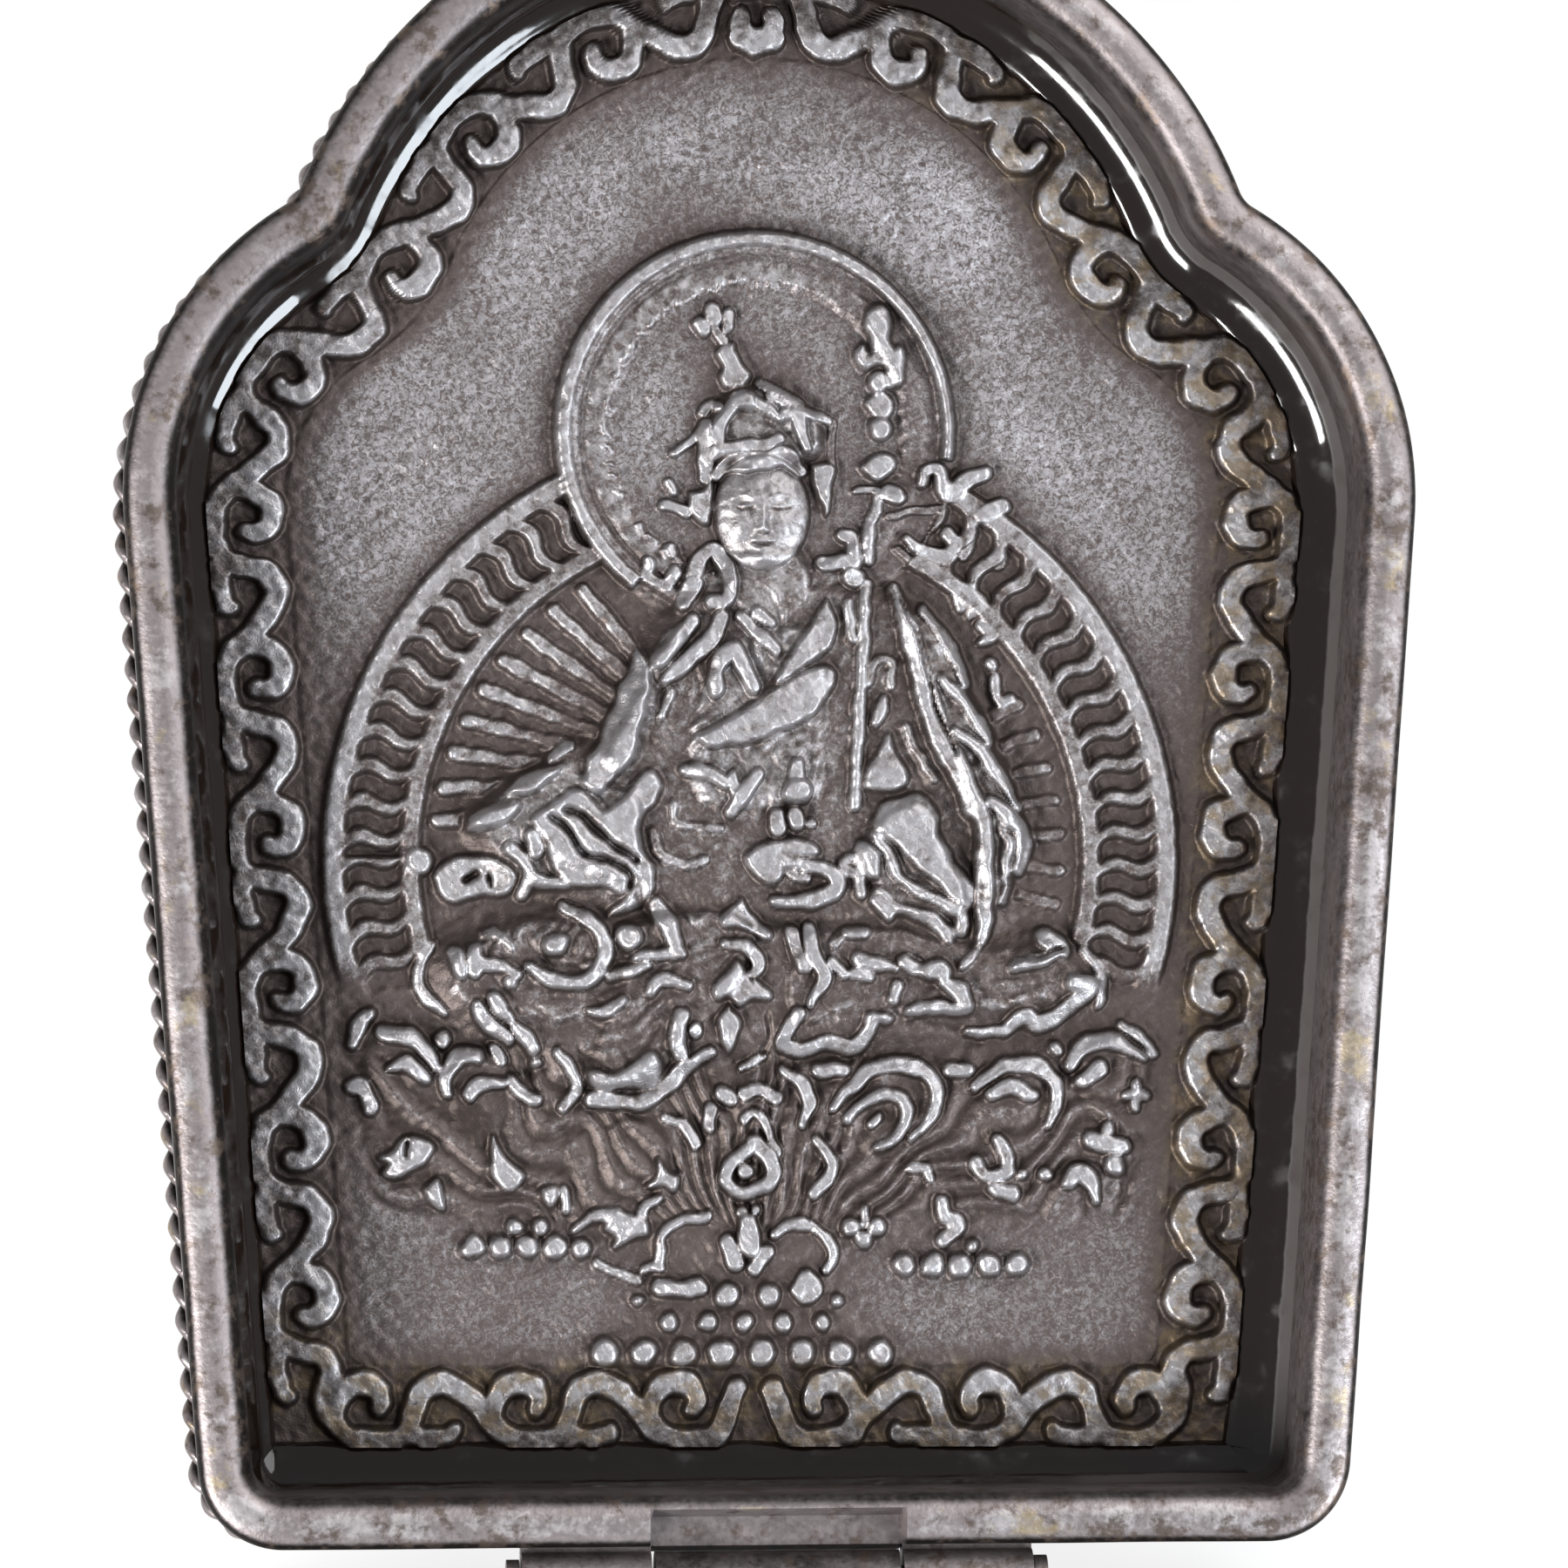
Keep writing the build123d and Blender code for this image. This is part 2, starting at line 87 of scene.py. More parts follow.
def outline(inset, count, corner=None, half=False):
    """The box's outline drawn in by the inset, as points against the clock from the middle of the base.

    One half is a base line, a corner arc, a sloping side, a shoulder arc, a small hollow arc in the
    notch and a crown arc. Every stretch keeps its share of the points, so insets match point by point.
    """
    base = np.array([BASE_WIDTH / 2, WALL_TO_AXIS])
    reach = base - SHOULDER
    slope = heading(reach) + math.acos(SHOULDER_R / np.hypot(*reach))
    outward = np.array([math.cos(slope), math.sin(slope)])
    gap = np.hypot(*(CROWN - SHOULDER))
    near = SHOULDER_R + NOTCH_R
    far = CROWN_R + NOTCH_R
    turn = heading(CROWN - SHOULDER) - math.acos((gap**2 + near**2 - far**2) / (2 * gap * near))
    notch = SHOULDER + near * np.array([math.cos(turn), math.sin(turn)])
    from_crown = heading(notch - CROWN)
    bend = max(CORNER_R - inset, 0.001) if corner is None else corner
    bend_y = WALL_TO_AXIS + inset + bend
    bend_x = (outward @ SHOULDER + SHOULDER_R - inset - bend - outward[1] * bend_y) / outward[0]
    side_start = np.array([bend_x, bend_y]) + bend * outward
    side_end = SHOULDER + (SHOULDER_R - inset) * outward
    shares = np.array([0.19, 0.07, 0.41, 0.14, 0.03, 0.16]) * count / 2
    base_n, bend_n, side_n, shoulder_n, notch_n, crown_n = shares.astype(int)
    along = np.linspace(0, 1, side_n, endpoint=False)[:, None]
    right = np.concatenate([
        np.stack([np.linspace(0, bend_x, base_n, endpoint=False), np.full(base_n, bend_y - bend)], 1),
        arc((bend_x, bend_y), bend, -math.pi / 2, slope, bend_n),
        side_start + along * (side_end - side_start),
        arc(SHOULDER, SHOULDER_R - inset, slope, turn, shoulder_n),
        arc(notch, NOTCH_R + inset, turn + math.pi, from_crown + math.pi, notch_n),
        arc(CROWN, CROWN_R - inset, from_crown, math.pi / 2, crown_n),
        [[0.0, CROWN[1] + CROWN_R - inset]],
    ])
    if half:
        return right
    return np.concatenate([right, right[-2:0:-1] * [-1, 1]])


def ripple(count, waves, seed):
    """Smooth uneven wave round a closed run: a sum of sines of falling height, between -1 and 1."""
    chance = np.random.default_rng(seed)
    turns = np.linspace(0, 2 * math.pi, count, endpoint=False)
    orders = np.arange(waves, 4 * waves, 3)[:, None]
    phases = chance.uniform(0, 2 * math.pi, orders.shape)
    weights = chance.uniform(0.4, 1.0, orders.shape) * waves / orders
    return (weights * np.sin(orders * turns + phases)).sum(0) / weights.sum()


def lay_mesh(name, points, quads, ends=(), normals=None, **marks):
    """A mesh piece from points in millimetres, four-sided faces, end caps and marks kept on its points."""
    mesh = bpy.data.meshes.new(name)
    loops = np.concatenate([quads.ravel(), *ends]).astype(np.int32)
    starts = np.arange(0, quads.size, 4)
    cap_starts = quads.size + np.cumsum([0] + [len(end) for end in ends])[:-1]
    mesh.vertices.add(len(points))
    mesh.vertices.foreach_set("co", (points * MM).astype(np.float32).ravel())
    mesh.loops.add(len(loops))
    mesh.loops.foreach_set("vertex_index", loops)
    mesh.polygons.add(len(quads) + len(ends))
    mesh.polygons.foreach_set("loop_start", np.concatenate([starts, cap_starts]).astype(np.int32))
    mesh.update(calc_edges=True)
    mesh.polygons.foreach_set("use_smooth", np.ones(len(mesh.polygons), bool))
    for mark, values in marks.items():
        layer = mesh.attributes.new(mark, "FLOAT", "POINT")
        layer.data.foreach_set("value", values.astype(np.float32).ravel())
    if normals is None:
        mesh.set_sharp_from_angle(angle=SHARP_EDGE)
    else:
        mesh.normals_split_custom_set(normals)
    made = bpy.data.objects.new(name, mesh)
    bpy.context.scene.collection.objects.link(made)
    return made


def woven(rows, columns, wrap_rows=False, wrap_columns=False):
    """Four-sided faces of a grid of rows and columns of points, closed on itself where asked."""
    index = np.arange(rows * columns).reshape(rows, columns)
    if wrap_rows:
        index = np.concatenate([index, index[:1]])
    if wrap_columns:
        index = np.concatenate([index, index[:, :1]], 1)
    near, far = index[:-1], index[1:]
    return np.stack([near[:, :-1], near[:, 1:], far[:, 1:], far[:, :-1]], 2).reshape(-1, 4)


def smooth(low, high, value):
    """0 below the low value, 1 above the high one and a soft S between."""
    t = np.clip((value - low) / (high - low), 0, 1)
    return t * t * (3 - 2 * t)


def wall_band(name, side, foot, rim, seed, notched=False):
    """Profile carried round the outline: seam groove, outer face, rubbed rim and inner face, closed.

    Each level has an inset, a height and a wear value. Inset and height waver a little round the
    box, and under the notch a low bulge of solder stands out. The mark "wear" is 1 on the rubbed rim
    and about half that on the faces, and low on the rim's outer edge as a painted dark line of shade. On the
    inner face it is painted low on the left, as shade, and high towards the right, as light, and it is raised
    near the base and falls towards the crown.
    """
    # The low values just under the rim's outer edge paint a dark line of shade there.
    levels = np.array([
        [0.53, foot, 0.1], [0.4, foot + 0.31, 0.1], [0.1, foot + 0.43, 0.2], [0.0, foot + 0.46, 0.35],
        [0.0, foot + 1.6, 0.4], [0.0, 0.67 * foot + 0.33 * rim + 0.9, 0.4],
        [0.0, 0.33 * foot + 0.67 * rim + 0.2, 0.4],
        [0.0, rim - 0.5, 0.42], [0.03, rim - 0.3, 0.04], [0.1, rim - 0.17, 0.03],
        [0.22, rim - 0.09, 0.5], [0.4, rim - 0.035, 0.95], [0.68, rim, 1.0], [0.78, rim, 1.0],
        [1.03, rim - 0.05, 0.7], [1.24, rim - 0.16, 0.3], [1.37, rim - 0.33, 0.34], [1.43, rim - 0.55, 0.48],
        [WALL, rim - 1.1, 0.54], [WALL, rim - 1.9, 0.52], [WALL, rim - 2.6, 0.5], [WALL, rim - 3.4, 0.46],
        [WALL, foot, 0.0],
    ])
    outer = outline(0.0, RIM_RINGS)
    inner = outline(WALL, RIM_RINGS)
    count = len(outer)
    insets = np.repeat(levels[:, :1].T, count, 0)
    heights = np.repeat(levels[:, 1:2].T, count, 0)
    wear = np.repeat(levels[:, 2:].T, count, 0)
    rubbed = np.clip(levels[:, 1] - rim + 1.0, 0, 1)
    insets = insets + 0.035 * rubbed * ripple(count, 9, seed)[:, None]
    heights = heights - 0.03 * rubbed * (1 + ripple(count, 23, seed + 1))[:, None]
    if notched:
        over_hinge = (np.abs(outer[:, 0]) < LEAF_NOTCH_X) & (outer[:, 1] < WALL_TO_AXIS + 0.01)
        cut = over_hinge[:, None] & (levels[:, 0] < LEAF_NOTCH_DEPTH) & (levels[:, 1] > LEAF_NOTCH_FLOOR)
        heights = np.where(cut, LEAF_NOTCH_FLOOR, heights)
        wear = np.where(cut, 0.45, wear)
        solder = np.interp(levels[:, 1], [foot + 1.6, 3.8, 4.8, 5.4], [0, 0.28, 0.2, 0]) * (levels[:, 0] == 0)
        insets = insets - over_hinge[:, None] * solder
    # Painted light and shade: the inner face is painted paler towards the right, where light falls, and
    # darker on the left, in shade. It is also paler near the base, the rim and outer face are a little paler
    # on the right and near the base, and all of it is darker towards the crown.
    painted_light = np.clip((outer[:, 0] + 8) / 20, 0, 1)[:, None]
    painted_light = np.maximum(painted_light, 0.75 * (1 - smooth(1.0, 3.0, outer[:, 1:])))
    wear = wear * np.where(levels[:, 0] > INNER_FACE, 0.24 + 0.76 * painted_light, 0.95 + 0.2 * painted_light)
    wear = wear * (1 - 0.3 * np.clip((outer[:, 1] - 22) / 16, 0, 1))[:, None]
    share = (insets / WALL)[:, :, None]
    flat = outer[:, None] * (1 - share) + inner[:, None] * share
    points = np.concatenate([flat * [1, side], heights[:, :, None]], 2)
    quads = woven(count, len(levels), True, True)
    quads = quads[:, ::-1] if side == LID else quads
    return lay_mesh(name, points.reshape(-1, 3), quads, wear=wear)


class Shade:
    """A shader value: a socket that takes part in Python sums, each of which adds its Math node."""

    def __init__(self, tree, socket=None):
        self.tree = tree
        self.socket = socket

    def node(self, kind, settings, sockets, output=0):
        """Adds a node of that kind with its settings, then its sockets' values or links."""
        made = self.tree.nodes.new("ShaderNode" + kind)
        for key, value in settings.items():
            setattr(made, key, value)
        for key, value in sockets.items():
            if isinstance(value, Shade):
                self.tree.links.new(value.socket, made.inputs[key])
            else:
                made.inputs[key].default_value = value
        return Shade(self.tree, made.outputs[output] if made.outputs else None)

    def maths(self, operation, one, two):
        """The Math node of that operation on two values."""
        return self.node("Math", {"operation": operation}, {0: one, 1: two})

    def __add__(self, other):
        return self.maths("ADD", self, other)

    def __sub__(self, other):
        return self.maths("SUBTRACT", self, other)

    def __rsub__(self, other):
        return self.maths("SUBTRACT", other, self)

    def __mul__(self, other):
        return self.maths("MULTIPLY", self, other)

    __radd__ = __add__
    __rmul__ = __mul__

    def between(self, low, high):
        """0 at the low value and 1 at the high one, with soft ends."""
        settings = {"interpolation_type": "SMOOTHSTEP"}
        return self.node("MapRange", settings, {"Value": self, "From Min": low, "From Max": high})

    def blend(self, one, two):
        """Colour that goes from one to two as this value goes from 0 to 1."""
        return self.node("Mix", {"data_type": "RGBA"}, {0: self, 6: one, 7: two}, 2)

    def dents(self, strength, depth):
        """Direction of a skin that is as high as this value, of that strength and depth in millimetres."""
        return self.node("Bump", {}, {"Height": self, "Strength": strength, "Distance": depth * MM})

    def mark(self, name):
        """A mark kept on the piece's points."""
        return self.node("Attribute", {"attribute_name": name}, {}, 2)

    def grain(self, size, detail=2.0, roughness=0.55, swirl=0.0):
        """Cloudy noise with spots of about that size in millimetres, on the piece's own coordinates."""
        place = self.node("TexCoord", {}, {}, 3)
        sockets = {"Scale": 1 / (size * MM), "Detail": detail, "Roughness": roughness, "Distortion": swirl}
        sockets["Vector"] = place
        return self.node("TexNoise", {}, sockets)


def new_finish(name):
    """An empty material and its first shader value."""
    material = bpy.data.materials.new(name)
    material.use_nodes = True
    material.node_tree.nodes.clear()
    return material, Shade(material.node_tree)


def seal(shade, **sockets):
    """Closes a material: the sockets of one Principled surface, led to the output."""
    named = {key.replace("_", " "): value for key, value in sockets.items()}
    surface = shade.node("BsdfPrincipled", {}, named)
    shade.node("OutputMaterial", {}, {"Surface": surface})


TARNISH = (0.014, 0.011, 0.01, 1)
WORN_GREY = (0.27, 0.236, 0.234, 1)
RUBBED_SILVER = (0.46, 0.428, 0.43, 1)
BROWN_STAIN = (0.105, 0.078, 0.063, 1)
STRAW_STAIN = (0.44, 0.35, 0.2, 1)


def worn_silver(name, worn=None):
    """Mottled old silver: black where it is unrubbed and where shade is painted, mauve grey where it is
    handled and where light is painted, stained in patches.
    """
    material, shade = new_finish(name)
    wear = shade.mark("wear") if worn is None else shade.grain(2.6) * 0.3 + (worn - 0.15)
    cloud = shade.grain(1.3, 5.0, 0.6)
    fleck = shade.grain(0.2, 3.0)
    handled_and_lit = (wear + (cloud - 0.5) * 0.45 + (fleck - 0.5) * 0.3).between(0.05, 0.72)
    colour = handled_and_lit.blend(TARNISH, WORN_GREY)
    pale = (cloud + (fleck - 0.5) * 0.35 + (wear - 1) * 0.3).between(0.45, 0.64) * wear.between(0.5, 0.9)
    colour = (pale * 0.85).blend(colour, RUBBED_SILVER)
    stain = (shade.grain(0.5, 5.0, 0.65) + (shade.grain(2.2) - 0.5) * 0.5).between(0.5, 0.68)
    colour = (stain * 0.85).blend(colour, BROWN_STAIN)
    straw = shade.grain(1.9, 4.0, 0.7).between(0.57, 0.7) * wear.between(0.5, 0.9)
    colour = (straw * 0.55).blend(colour, STRAW_STAIN)
    dents = (cloud * 0.7 + fleck * 0.3).dents(0.5, 0.1)
    rough = 0.5 - wear * 0.08 + (fleck - 0.5) * 0.25
    seal(shade, Base_Color=colour, Metallic=0.85, Roughness=rough, Normal=dents)
    return material


def dress(name, finish):
    """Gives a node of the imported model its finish."""
    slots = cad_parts[name].data.materials
    slots.clear()
    slots.append(finish)


rim_silver = worn_silver("rim_silver")
tray_wall = wall_band("tray_wall", TRAY, BACK_PLATE, TRAY_HEIGHT, 4, True)
tray_wall.data.materials.append(rim_silver)
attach(tray_wall, "tray")
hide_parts("tray_wall_band")

# Back plate of the tray: flat silver sheet under the wall, dull and scratched from lying on things.
# The wall and the seam wire are soldered to its edge.
sheet_silver = worn_silver("sheet_silver", 0.6)
dress("tray_back_plate", sheet_silver)

# Seam wires: two thin silver wires twisted into a cord and soldered over the joint of wall and plate,
# one cord on the tray and one on the lid. Their hollows are black and their crowns are rubbed bright.
ROPE_SINK = 0.1
ROPE_R = 0.4
STRAND_R = 0.215
STRAND_LAY = 1.7
STRAND_RINGS = 1700
STRAND_SIDES = 10
LID_PLATE = 1.2


def twisted_wire(name, side, height):
    """Two strands wound about the outline at one height, each a round tube on a helix closed on itself.

    The helix has as many whole turns as fit the run. The mark "wear" grows with the distance from the
    cord's middle, so that the hollows stay dark.
    """
    path = outline(ROPE_SINK, STRAND_RINGS)
    ahead = np.roll(path, -1, 0) - np.roll(path, 1, 0)
    ahead = ahead / np.hypot(*ahead.T)[:, None]
    out = np.stack([ahead[:, 1], -ahead[:, 0]], 1)
    steps = np.hypot(*(np.roll(path, -1, 0) - path).T)
    run = np.concatenate([[0], np.cumsum(steps)[:-1]])
    turns = round(steps.sum() / STRAND_LAY)
    spoke = np.linspace(0, 2 * math.pi, STRAND_SIDES, endpoint=False)
    points = []
    for start in (0, math.pi):
        twist = 2 * math.pi * turns * run / steps.sum() + start
        reach = (ROPE_R - STRAND_R) * np.cos(twist)[:, None] + STRAND_R * np.cos(spoke)
        rise = (ROPE_R - STRAND_R) * np.sin(twist)[:, None] + STRAND_R * np.sin(spoke)
        flat = path[:, None] + out[:, None] * reach[:, :, None]
        points.append(np.concatenate([flat * [1, side], (height + rise)[:, :, None]], 2).reshape(-1, 3))
    quads = woven(len(path), STRAND_SIDES, True, True)
    quads = quads[:, ::-1] if side == TRAY else quads
    points = np.concatenate(points)
    middle = np.concatenate([np.repeat(path * [1, side], STRAND_SIDES, 0)] * 2)
    distance = np.hypot(np.hypot(*(points[:, :2] - middle).T), points[:, 2] - height)
    wear = np.clip((distance - 0.18) / 0.24, 0, 1)
    return lay_mesh(name, points, np.concatenate([quads, quads + len(points) // 2]), wear=wear)


wire_silver = worn_silver("wire_silver")
tray_rope = twisted_wire("tray_rope", TRAY, BACK_PLATE)
tray_rope.data.materials.append(wire_silver)
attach(tray_rope, "tray")
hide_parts("tray_rope_wire")
lid_rope = twisted_wire("lid_rope", LID, LID_PLATE)
lid_rope.data.materials.append(wire_silver)
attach(lid_rope, "lid")
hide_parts("lid_rope_wire")

# Adhesive: a dark resin that was poured round the relief plate and drew up the wall as it set.
# It is glossy, uneven at its inner lip, and laps over the plate's edge here and there. By the wall on the
# right it is matt and painted paler, as painted light.
PLATE_INSET = 2.45
FIELD_Z = 2.1
BED_RISE = 0.65
BED_LIP = 0.27
BED_RINGS = 1400
BED_STEPS = 25
RESIN_BLACK = (0.009, 0.0056, 0.0042, 1)
RESIN_DUST = (0.045, 0.033, 0.027, 1)
RESIN_LIT_SKIN = (0.04, 0.032, 0.029, 1)
SETTLE_TURN = math.radians(-0.36)
SETTLE_SHIFT = np.array([-0.26, 0.02])
SETTLE_ABOUT = np.array([0.48, 21.4])


def settled(points):
    """Places on the relief plate as it was glued in by hand: turned a little, and off the middle."""
    ahead = np.array([math.cos(SETTLE_TURN), math.sin(SETTLE_TURN)])
    return (points - SETTLE_ABOUT) @ np.array([ahead, [-ahead[1], ahead[0]]]) + SETTLE_ABOUT + SETTLE_SHIFT


def resin_bed(name):
    """Hollow slope carried round the outline, from a thin wavering lip on the plate up to the wall.

    Across the slope the height falls from the wall with the square of the distance, as a liquid's
    edge does, and the underside lies on the back plate. The mark "skin" is 1 in a band by the wall on the
    right, where the resin is matt and painted paler as painted light.
    """
    wall = outline(WALL, BED_RINGS)
    plate = settled(outline(PLATE_INSET, BED_RINGS))
    count = len(wall)
    across = np.linspace(0, 1, BED_STEPS)
    lip = 1.14 + 0.07 * ripple(count, 31, 8) + 0.03 * ripple(count, 83, 9)
    share = np.concatenate([across * lip[:, None], np.repeat([[1.0, 0.5, 0.0]], count, 0)], 1)
    top = BED_RISE * (1 + 0.03 * ripple(count, 5, 10))[:, None] * (1 - across) ** 2.2
    over_plate = BED_LIP * (1 - across**9) + 0.006 * ripple(count, 57, 11)[:, None] * across * (1 - across)
    upper = FIELD_Z + top + over_plate
    under = np.full((count, 3), BACK_PLATE)
    flat = wall[:, None] + (plate - wall)[:, None] * share[:, :, None]
    points = np.concatenate([flat, np.concatenate([upper, under], 1)[:, :, None]], 2)
    # A band by the wall on the right is matt and painted paler: painted light.
    lit_right = np.clip((wall[:, :1] - 5) / 6, 0, 1)
    skin = np.concatenate([lit_right * np.clip((0.26 - across) / 0.14, 0, 1), 0 * under], 1)
    quads = woven(count, points.shape[1], True, True)
    return lay_mesh(name, points.reshape(-1, 3), quads, skin=skin)


resin, shade = new_finish("dark_resin")
film = shade.grain(1.1, 3.0)
dust = shade.grain(0.12, 3.0).between(0.62, 0.78)
matt_lit_skin = (shade.mark("skin") + (film - 0.5) * 0.5).between(0.2, 0.8)
uneven = film.dents(0.05, 0.1)
colour = (dust * 0.35 * film.between(0.35, 0.6)).blend(RESIN_BLACK, RESIN_DUST)
# Painted light: the matt band by the wall on the right takes the paler skin colour.
colour = matt_lit_skin.blend(colour, RESIN_LIT_SKIN)
rough = 0.09 + film.between(0.5, 0.75) * 0.2 + matt_lit_skin * 0.6
seal(shade, Base_Color=colour, Roughness=rough, IOR=1.52, Normal=uneven)
plate_resin = resin_bed("plate_resin")
plate_resin.data.materials.append(resin)
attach(plate_resin, "tray")
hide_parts("plate_adhesive")

# Relief plate: thin silver sheet, stamped and chased with a scroll border, a halo, an aureole of rungs
# and rays, a seated figure in a lotus hat and cloak, a lotus throne and rows of offering beads.
# It is oxidised dark and rubbed bright on its crests, with painted shade round its relief and painted sheen
# on its robes, and it is bedded in the adhesive.
PLATE_Y = WALL_TO_AXIS + PLATE_INSET
PLATE_TOP = CROWN[1] + CROWN_R - PLATE_INSET
GRID = 0.065
FINE_GRID = 0.03
STROKE_STEP = 0.06
DRIFT_WAVES = 24
FACET_STEP = 0.12
HEAD = np.array([0.16, 28.95])
HEAD_ZONE = 2.2


def plate_rows():
    """Heights of the grid's rows up the plate, closer together over the head."""
    low = np.arange(PLATE_Y, HEAD[1] - HEAD_ZONE, GRID)
    middle = np.arange(low[-1] + FINE_GRID, HEAD[1] + HEAD_ZONE, FINE_GRID)
    return np.concatenate([low, middle, np.arange(middle[-1] + GRID, PLATE_TOP - 0.01, GRID)])


def plate_columns(width):
    """Places of the grid's columns across the plate, from -1 to 1, closer together over the head."""
    fine = np.arange(-HEAD_ZONE, HEAD_ZONE, FINE_GRID) + HEAD[0]
    left = np.linspace(-width, fine[0], int((fine[0] + width) / GRID), endpoint=False)
    right = np.linspace(width, fine[-1], int((width - fine[-1]) / GRID), endpoint=False)[::-1]
    return np.concatenate([left, fine, right]) / width


edge = outline(PLATE_INSET, 8000, half=True)
rows = plate_rows()
widths = np.interp(rows, edge[:, 1], edge[:, 0])
columns = plate_columns(widths.max())
X = widths[:, None] * columns
Y = np.repeat(rows[:, None], len(columns), 1)
mass = np.zeros_like(X)
ridge = np.zeros_like(X)
shine = np.zeros_like(X)


def softened(values, cells):
    """Values spread over their neighbours by a bell curve of that many grid cells, rows then columns."""
    taps = np.arange(-int(2.5 * cells), int(2.5 * cells) + 1)
    bell = np.exp(-0.5 * (taps / cells) ** 2)
    bell = bell / bell.sum()
    for axis in (0, 1):
        pad = [(0, 0), (0, 0)]
        pad[axis] = (-taps[0], taps[-1])
        wide = np.pad(values, pad, mode="edge")
        size = values.shape[axis]
        values = sum(b * np.take(wide, np.arange(k, k + size), axis) for k, b in enumerate(bell))
    return values


def drift(size, seed):
    """Smooth seeded unevenness over the plate with lumps of about that size in millimetres, spread 1."""
    chance = np.random.default_rng(seed)
    turn = chance.uniform(0, 2 * math.pi, DRIFT_WAVES)
    pace = 2 * math.pi / (size * chance.uniform(0.7, 1.9, DRIFT_WAVES))
    start = chance.uniform(0, 2 * math.pi, DRIFT_WAVES)
    wave = sum(
        np.sin(k * (X * math.cos(a) + Y * math.sin(a)) + b) for a, k, b in zip(turn, pace, start)
    )
    return wave / math.sqrt(DRIFT_WAVES / 2)


WANDER = 0.022
AX = X + WANDER * drift(0.7, 31)
AY = Y + WANDER * drift(0.7, 33)
worn = np.clip(0.84 + 0.14 * drift(0.9, 35) + 0.08 * drift(0.3, 36), 0.3, 1.1)


def bent(points, step):
    """Points a step apart along a smooth curve through the given ones (Catmull-Rom), and their places."""
    points = np.asarray(points, float)
    if len(points) == 1:
        return np.concatenate([points, points + [1e-4, 0]]), np.array([0.0, 1.0])
    padded = np.concatenate([2 * points[:1] - points[1:2], points, 2 * points[-1:] - points[-2:-1]])
    span = np.hypot(*np.diff(points, axis=0).T).sum()
    place = np.linspace(0, len(points) - 1, max(int(span / step), 2) + 1)
    k = np.minimum(place.astype(int), len(points) - 2)
    t = (place - k)[:, None]
    a, b, c, d = (padded[k + i] for i in range(4))
    curve = 0.5 * (2 * b + (c - a) * t + (2 * a - 5 * b + 4 * c - d) * t**2 + (3 * b - 3 * c + d - a) * t**3)
    return curve, place / (len(points) - 1)


def window(curve, reach):
    """Part of the grid within reach of a curve."""
    low, high = np.searchsorted(rows, [curve[:, 1].min() - reach, curve[:, 1].max() + reach])
    near = (X[low:high] > curve[:, 0].min() - reach) & (X[low:high] < curve[:, 0].max() + reach)
    across = np.flatnonzero(near.any(0))
    if not len(across):
        return None
    return slice(low, high), slice(across[0], across[-1] + 1)


def chase(half_widths, *points, rise=None, bright=1.0, flat=0.7, foot=0.09):
    """One chased stroke: a ridge along a curve, rounded on top and eased down to its foot.

    Its half width and brightness go through the given values along the curve. At each grid point the
    nearest place on the curve gives the ridge's share of its height, and the highest stroke is kept.
    """
    curve, place = bent(points, STROKE_STEP)
    half_widths = np.atleast_1d(half_widths).astype(float)
    bright = np.atleast_1d(bright).astype(float)
    broad = np.interp(place, np.linspace(0, 1, len(half_widths)), half_widths) + foot
    glint = np.interp(place, np.linspace(0, 1, len(bright)), bright)
    part = window(curve, broad.max() + 0.1)
    if part is None:
        return
    x, y = AX[part][..., None], AY[part][..., None]
    start, step = curve[:-1], np.diff(curve, axis=0)
    t = ((x - start[:, 0]) * step[:, 0] + (y - start[:, 1]) * step[:, 1]) / (step**2).sum(1)
    t = np.clip(t, 0, 1)
    off = np.hypot(x - start[:, 0] - t * step[:, 0], y - start[:, 1] - t * step[:, 1])
    ratios = off / (broad[:-1] + t * np.diff(broad))
    nearest = ratios.argmin(2)
    ratio = np.take_along_axis(ratios, nearest[..., None], 2)[..., 0]
    form = (1 - 0.08 * ratio**2) * (1 - smooth(flat, 1.0, ratio))
    height = (0.13 + half_widths.max()) if rise is None else rise
    ridge[part] = np.maximum(ridge[part], min(height, 0.5) * form * (0.6 + 0.4 * glint[nearest]))
    shine[part] = np.maximum(shine[part], glint[nearest] * (1 - smooth(flat - 0.1, 0.97, ratio)))


def depth_in(points, reach):
    """Part of the grid near a closed outline, and how deep each of its points lies inside it.

    The distance to the outline is signed by a count of how often a level line crosses it.
    """
    ring, _ = bent(list(points) + [points[0]], FACET_STEP)
    part = window(ring, reach)
    x, y = AX[part], AY[part]
    inside = np.zeros(x.shape, bool)
    near = np.full(x.shape, 1e9)
    for (x0, y0), (x1, y1) in zip(ring[:-1], ring[1:]):
        crosses = (y0 > y) != (y1 > y)
        inside ^= crosses & (x < (x1 - x0) * (y - y0) / (y1 - y0 + 1e-12) + x0)
        t = np.clip(((x - x0) * (x1 - x0) + (y - y0) * (y1 - y0)) / ((x1 - x0) ** 2 + (y1 - y0) ** 2), 0, 1)
        near = np.minimum(near, np.hypot(x - x0 - t * (x1 - x0), y - y0 - t * (y1 - y0)))
    return part, np.where(inside, near, -near)


def swell(points, height, edge_width):
    """A low mass inside a closed outline, rising softly from its edge over the edge width."""
    part, depth = depth_in(points, edge_width)
    mass[part] = np.maximum(mass[part], height * smooth(-0.15, edge_width, depth))


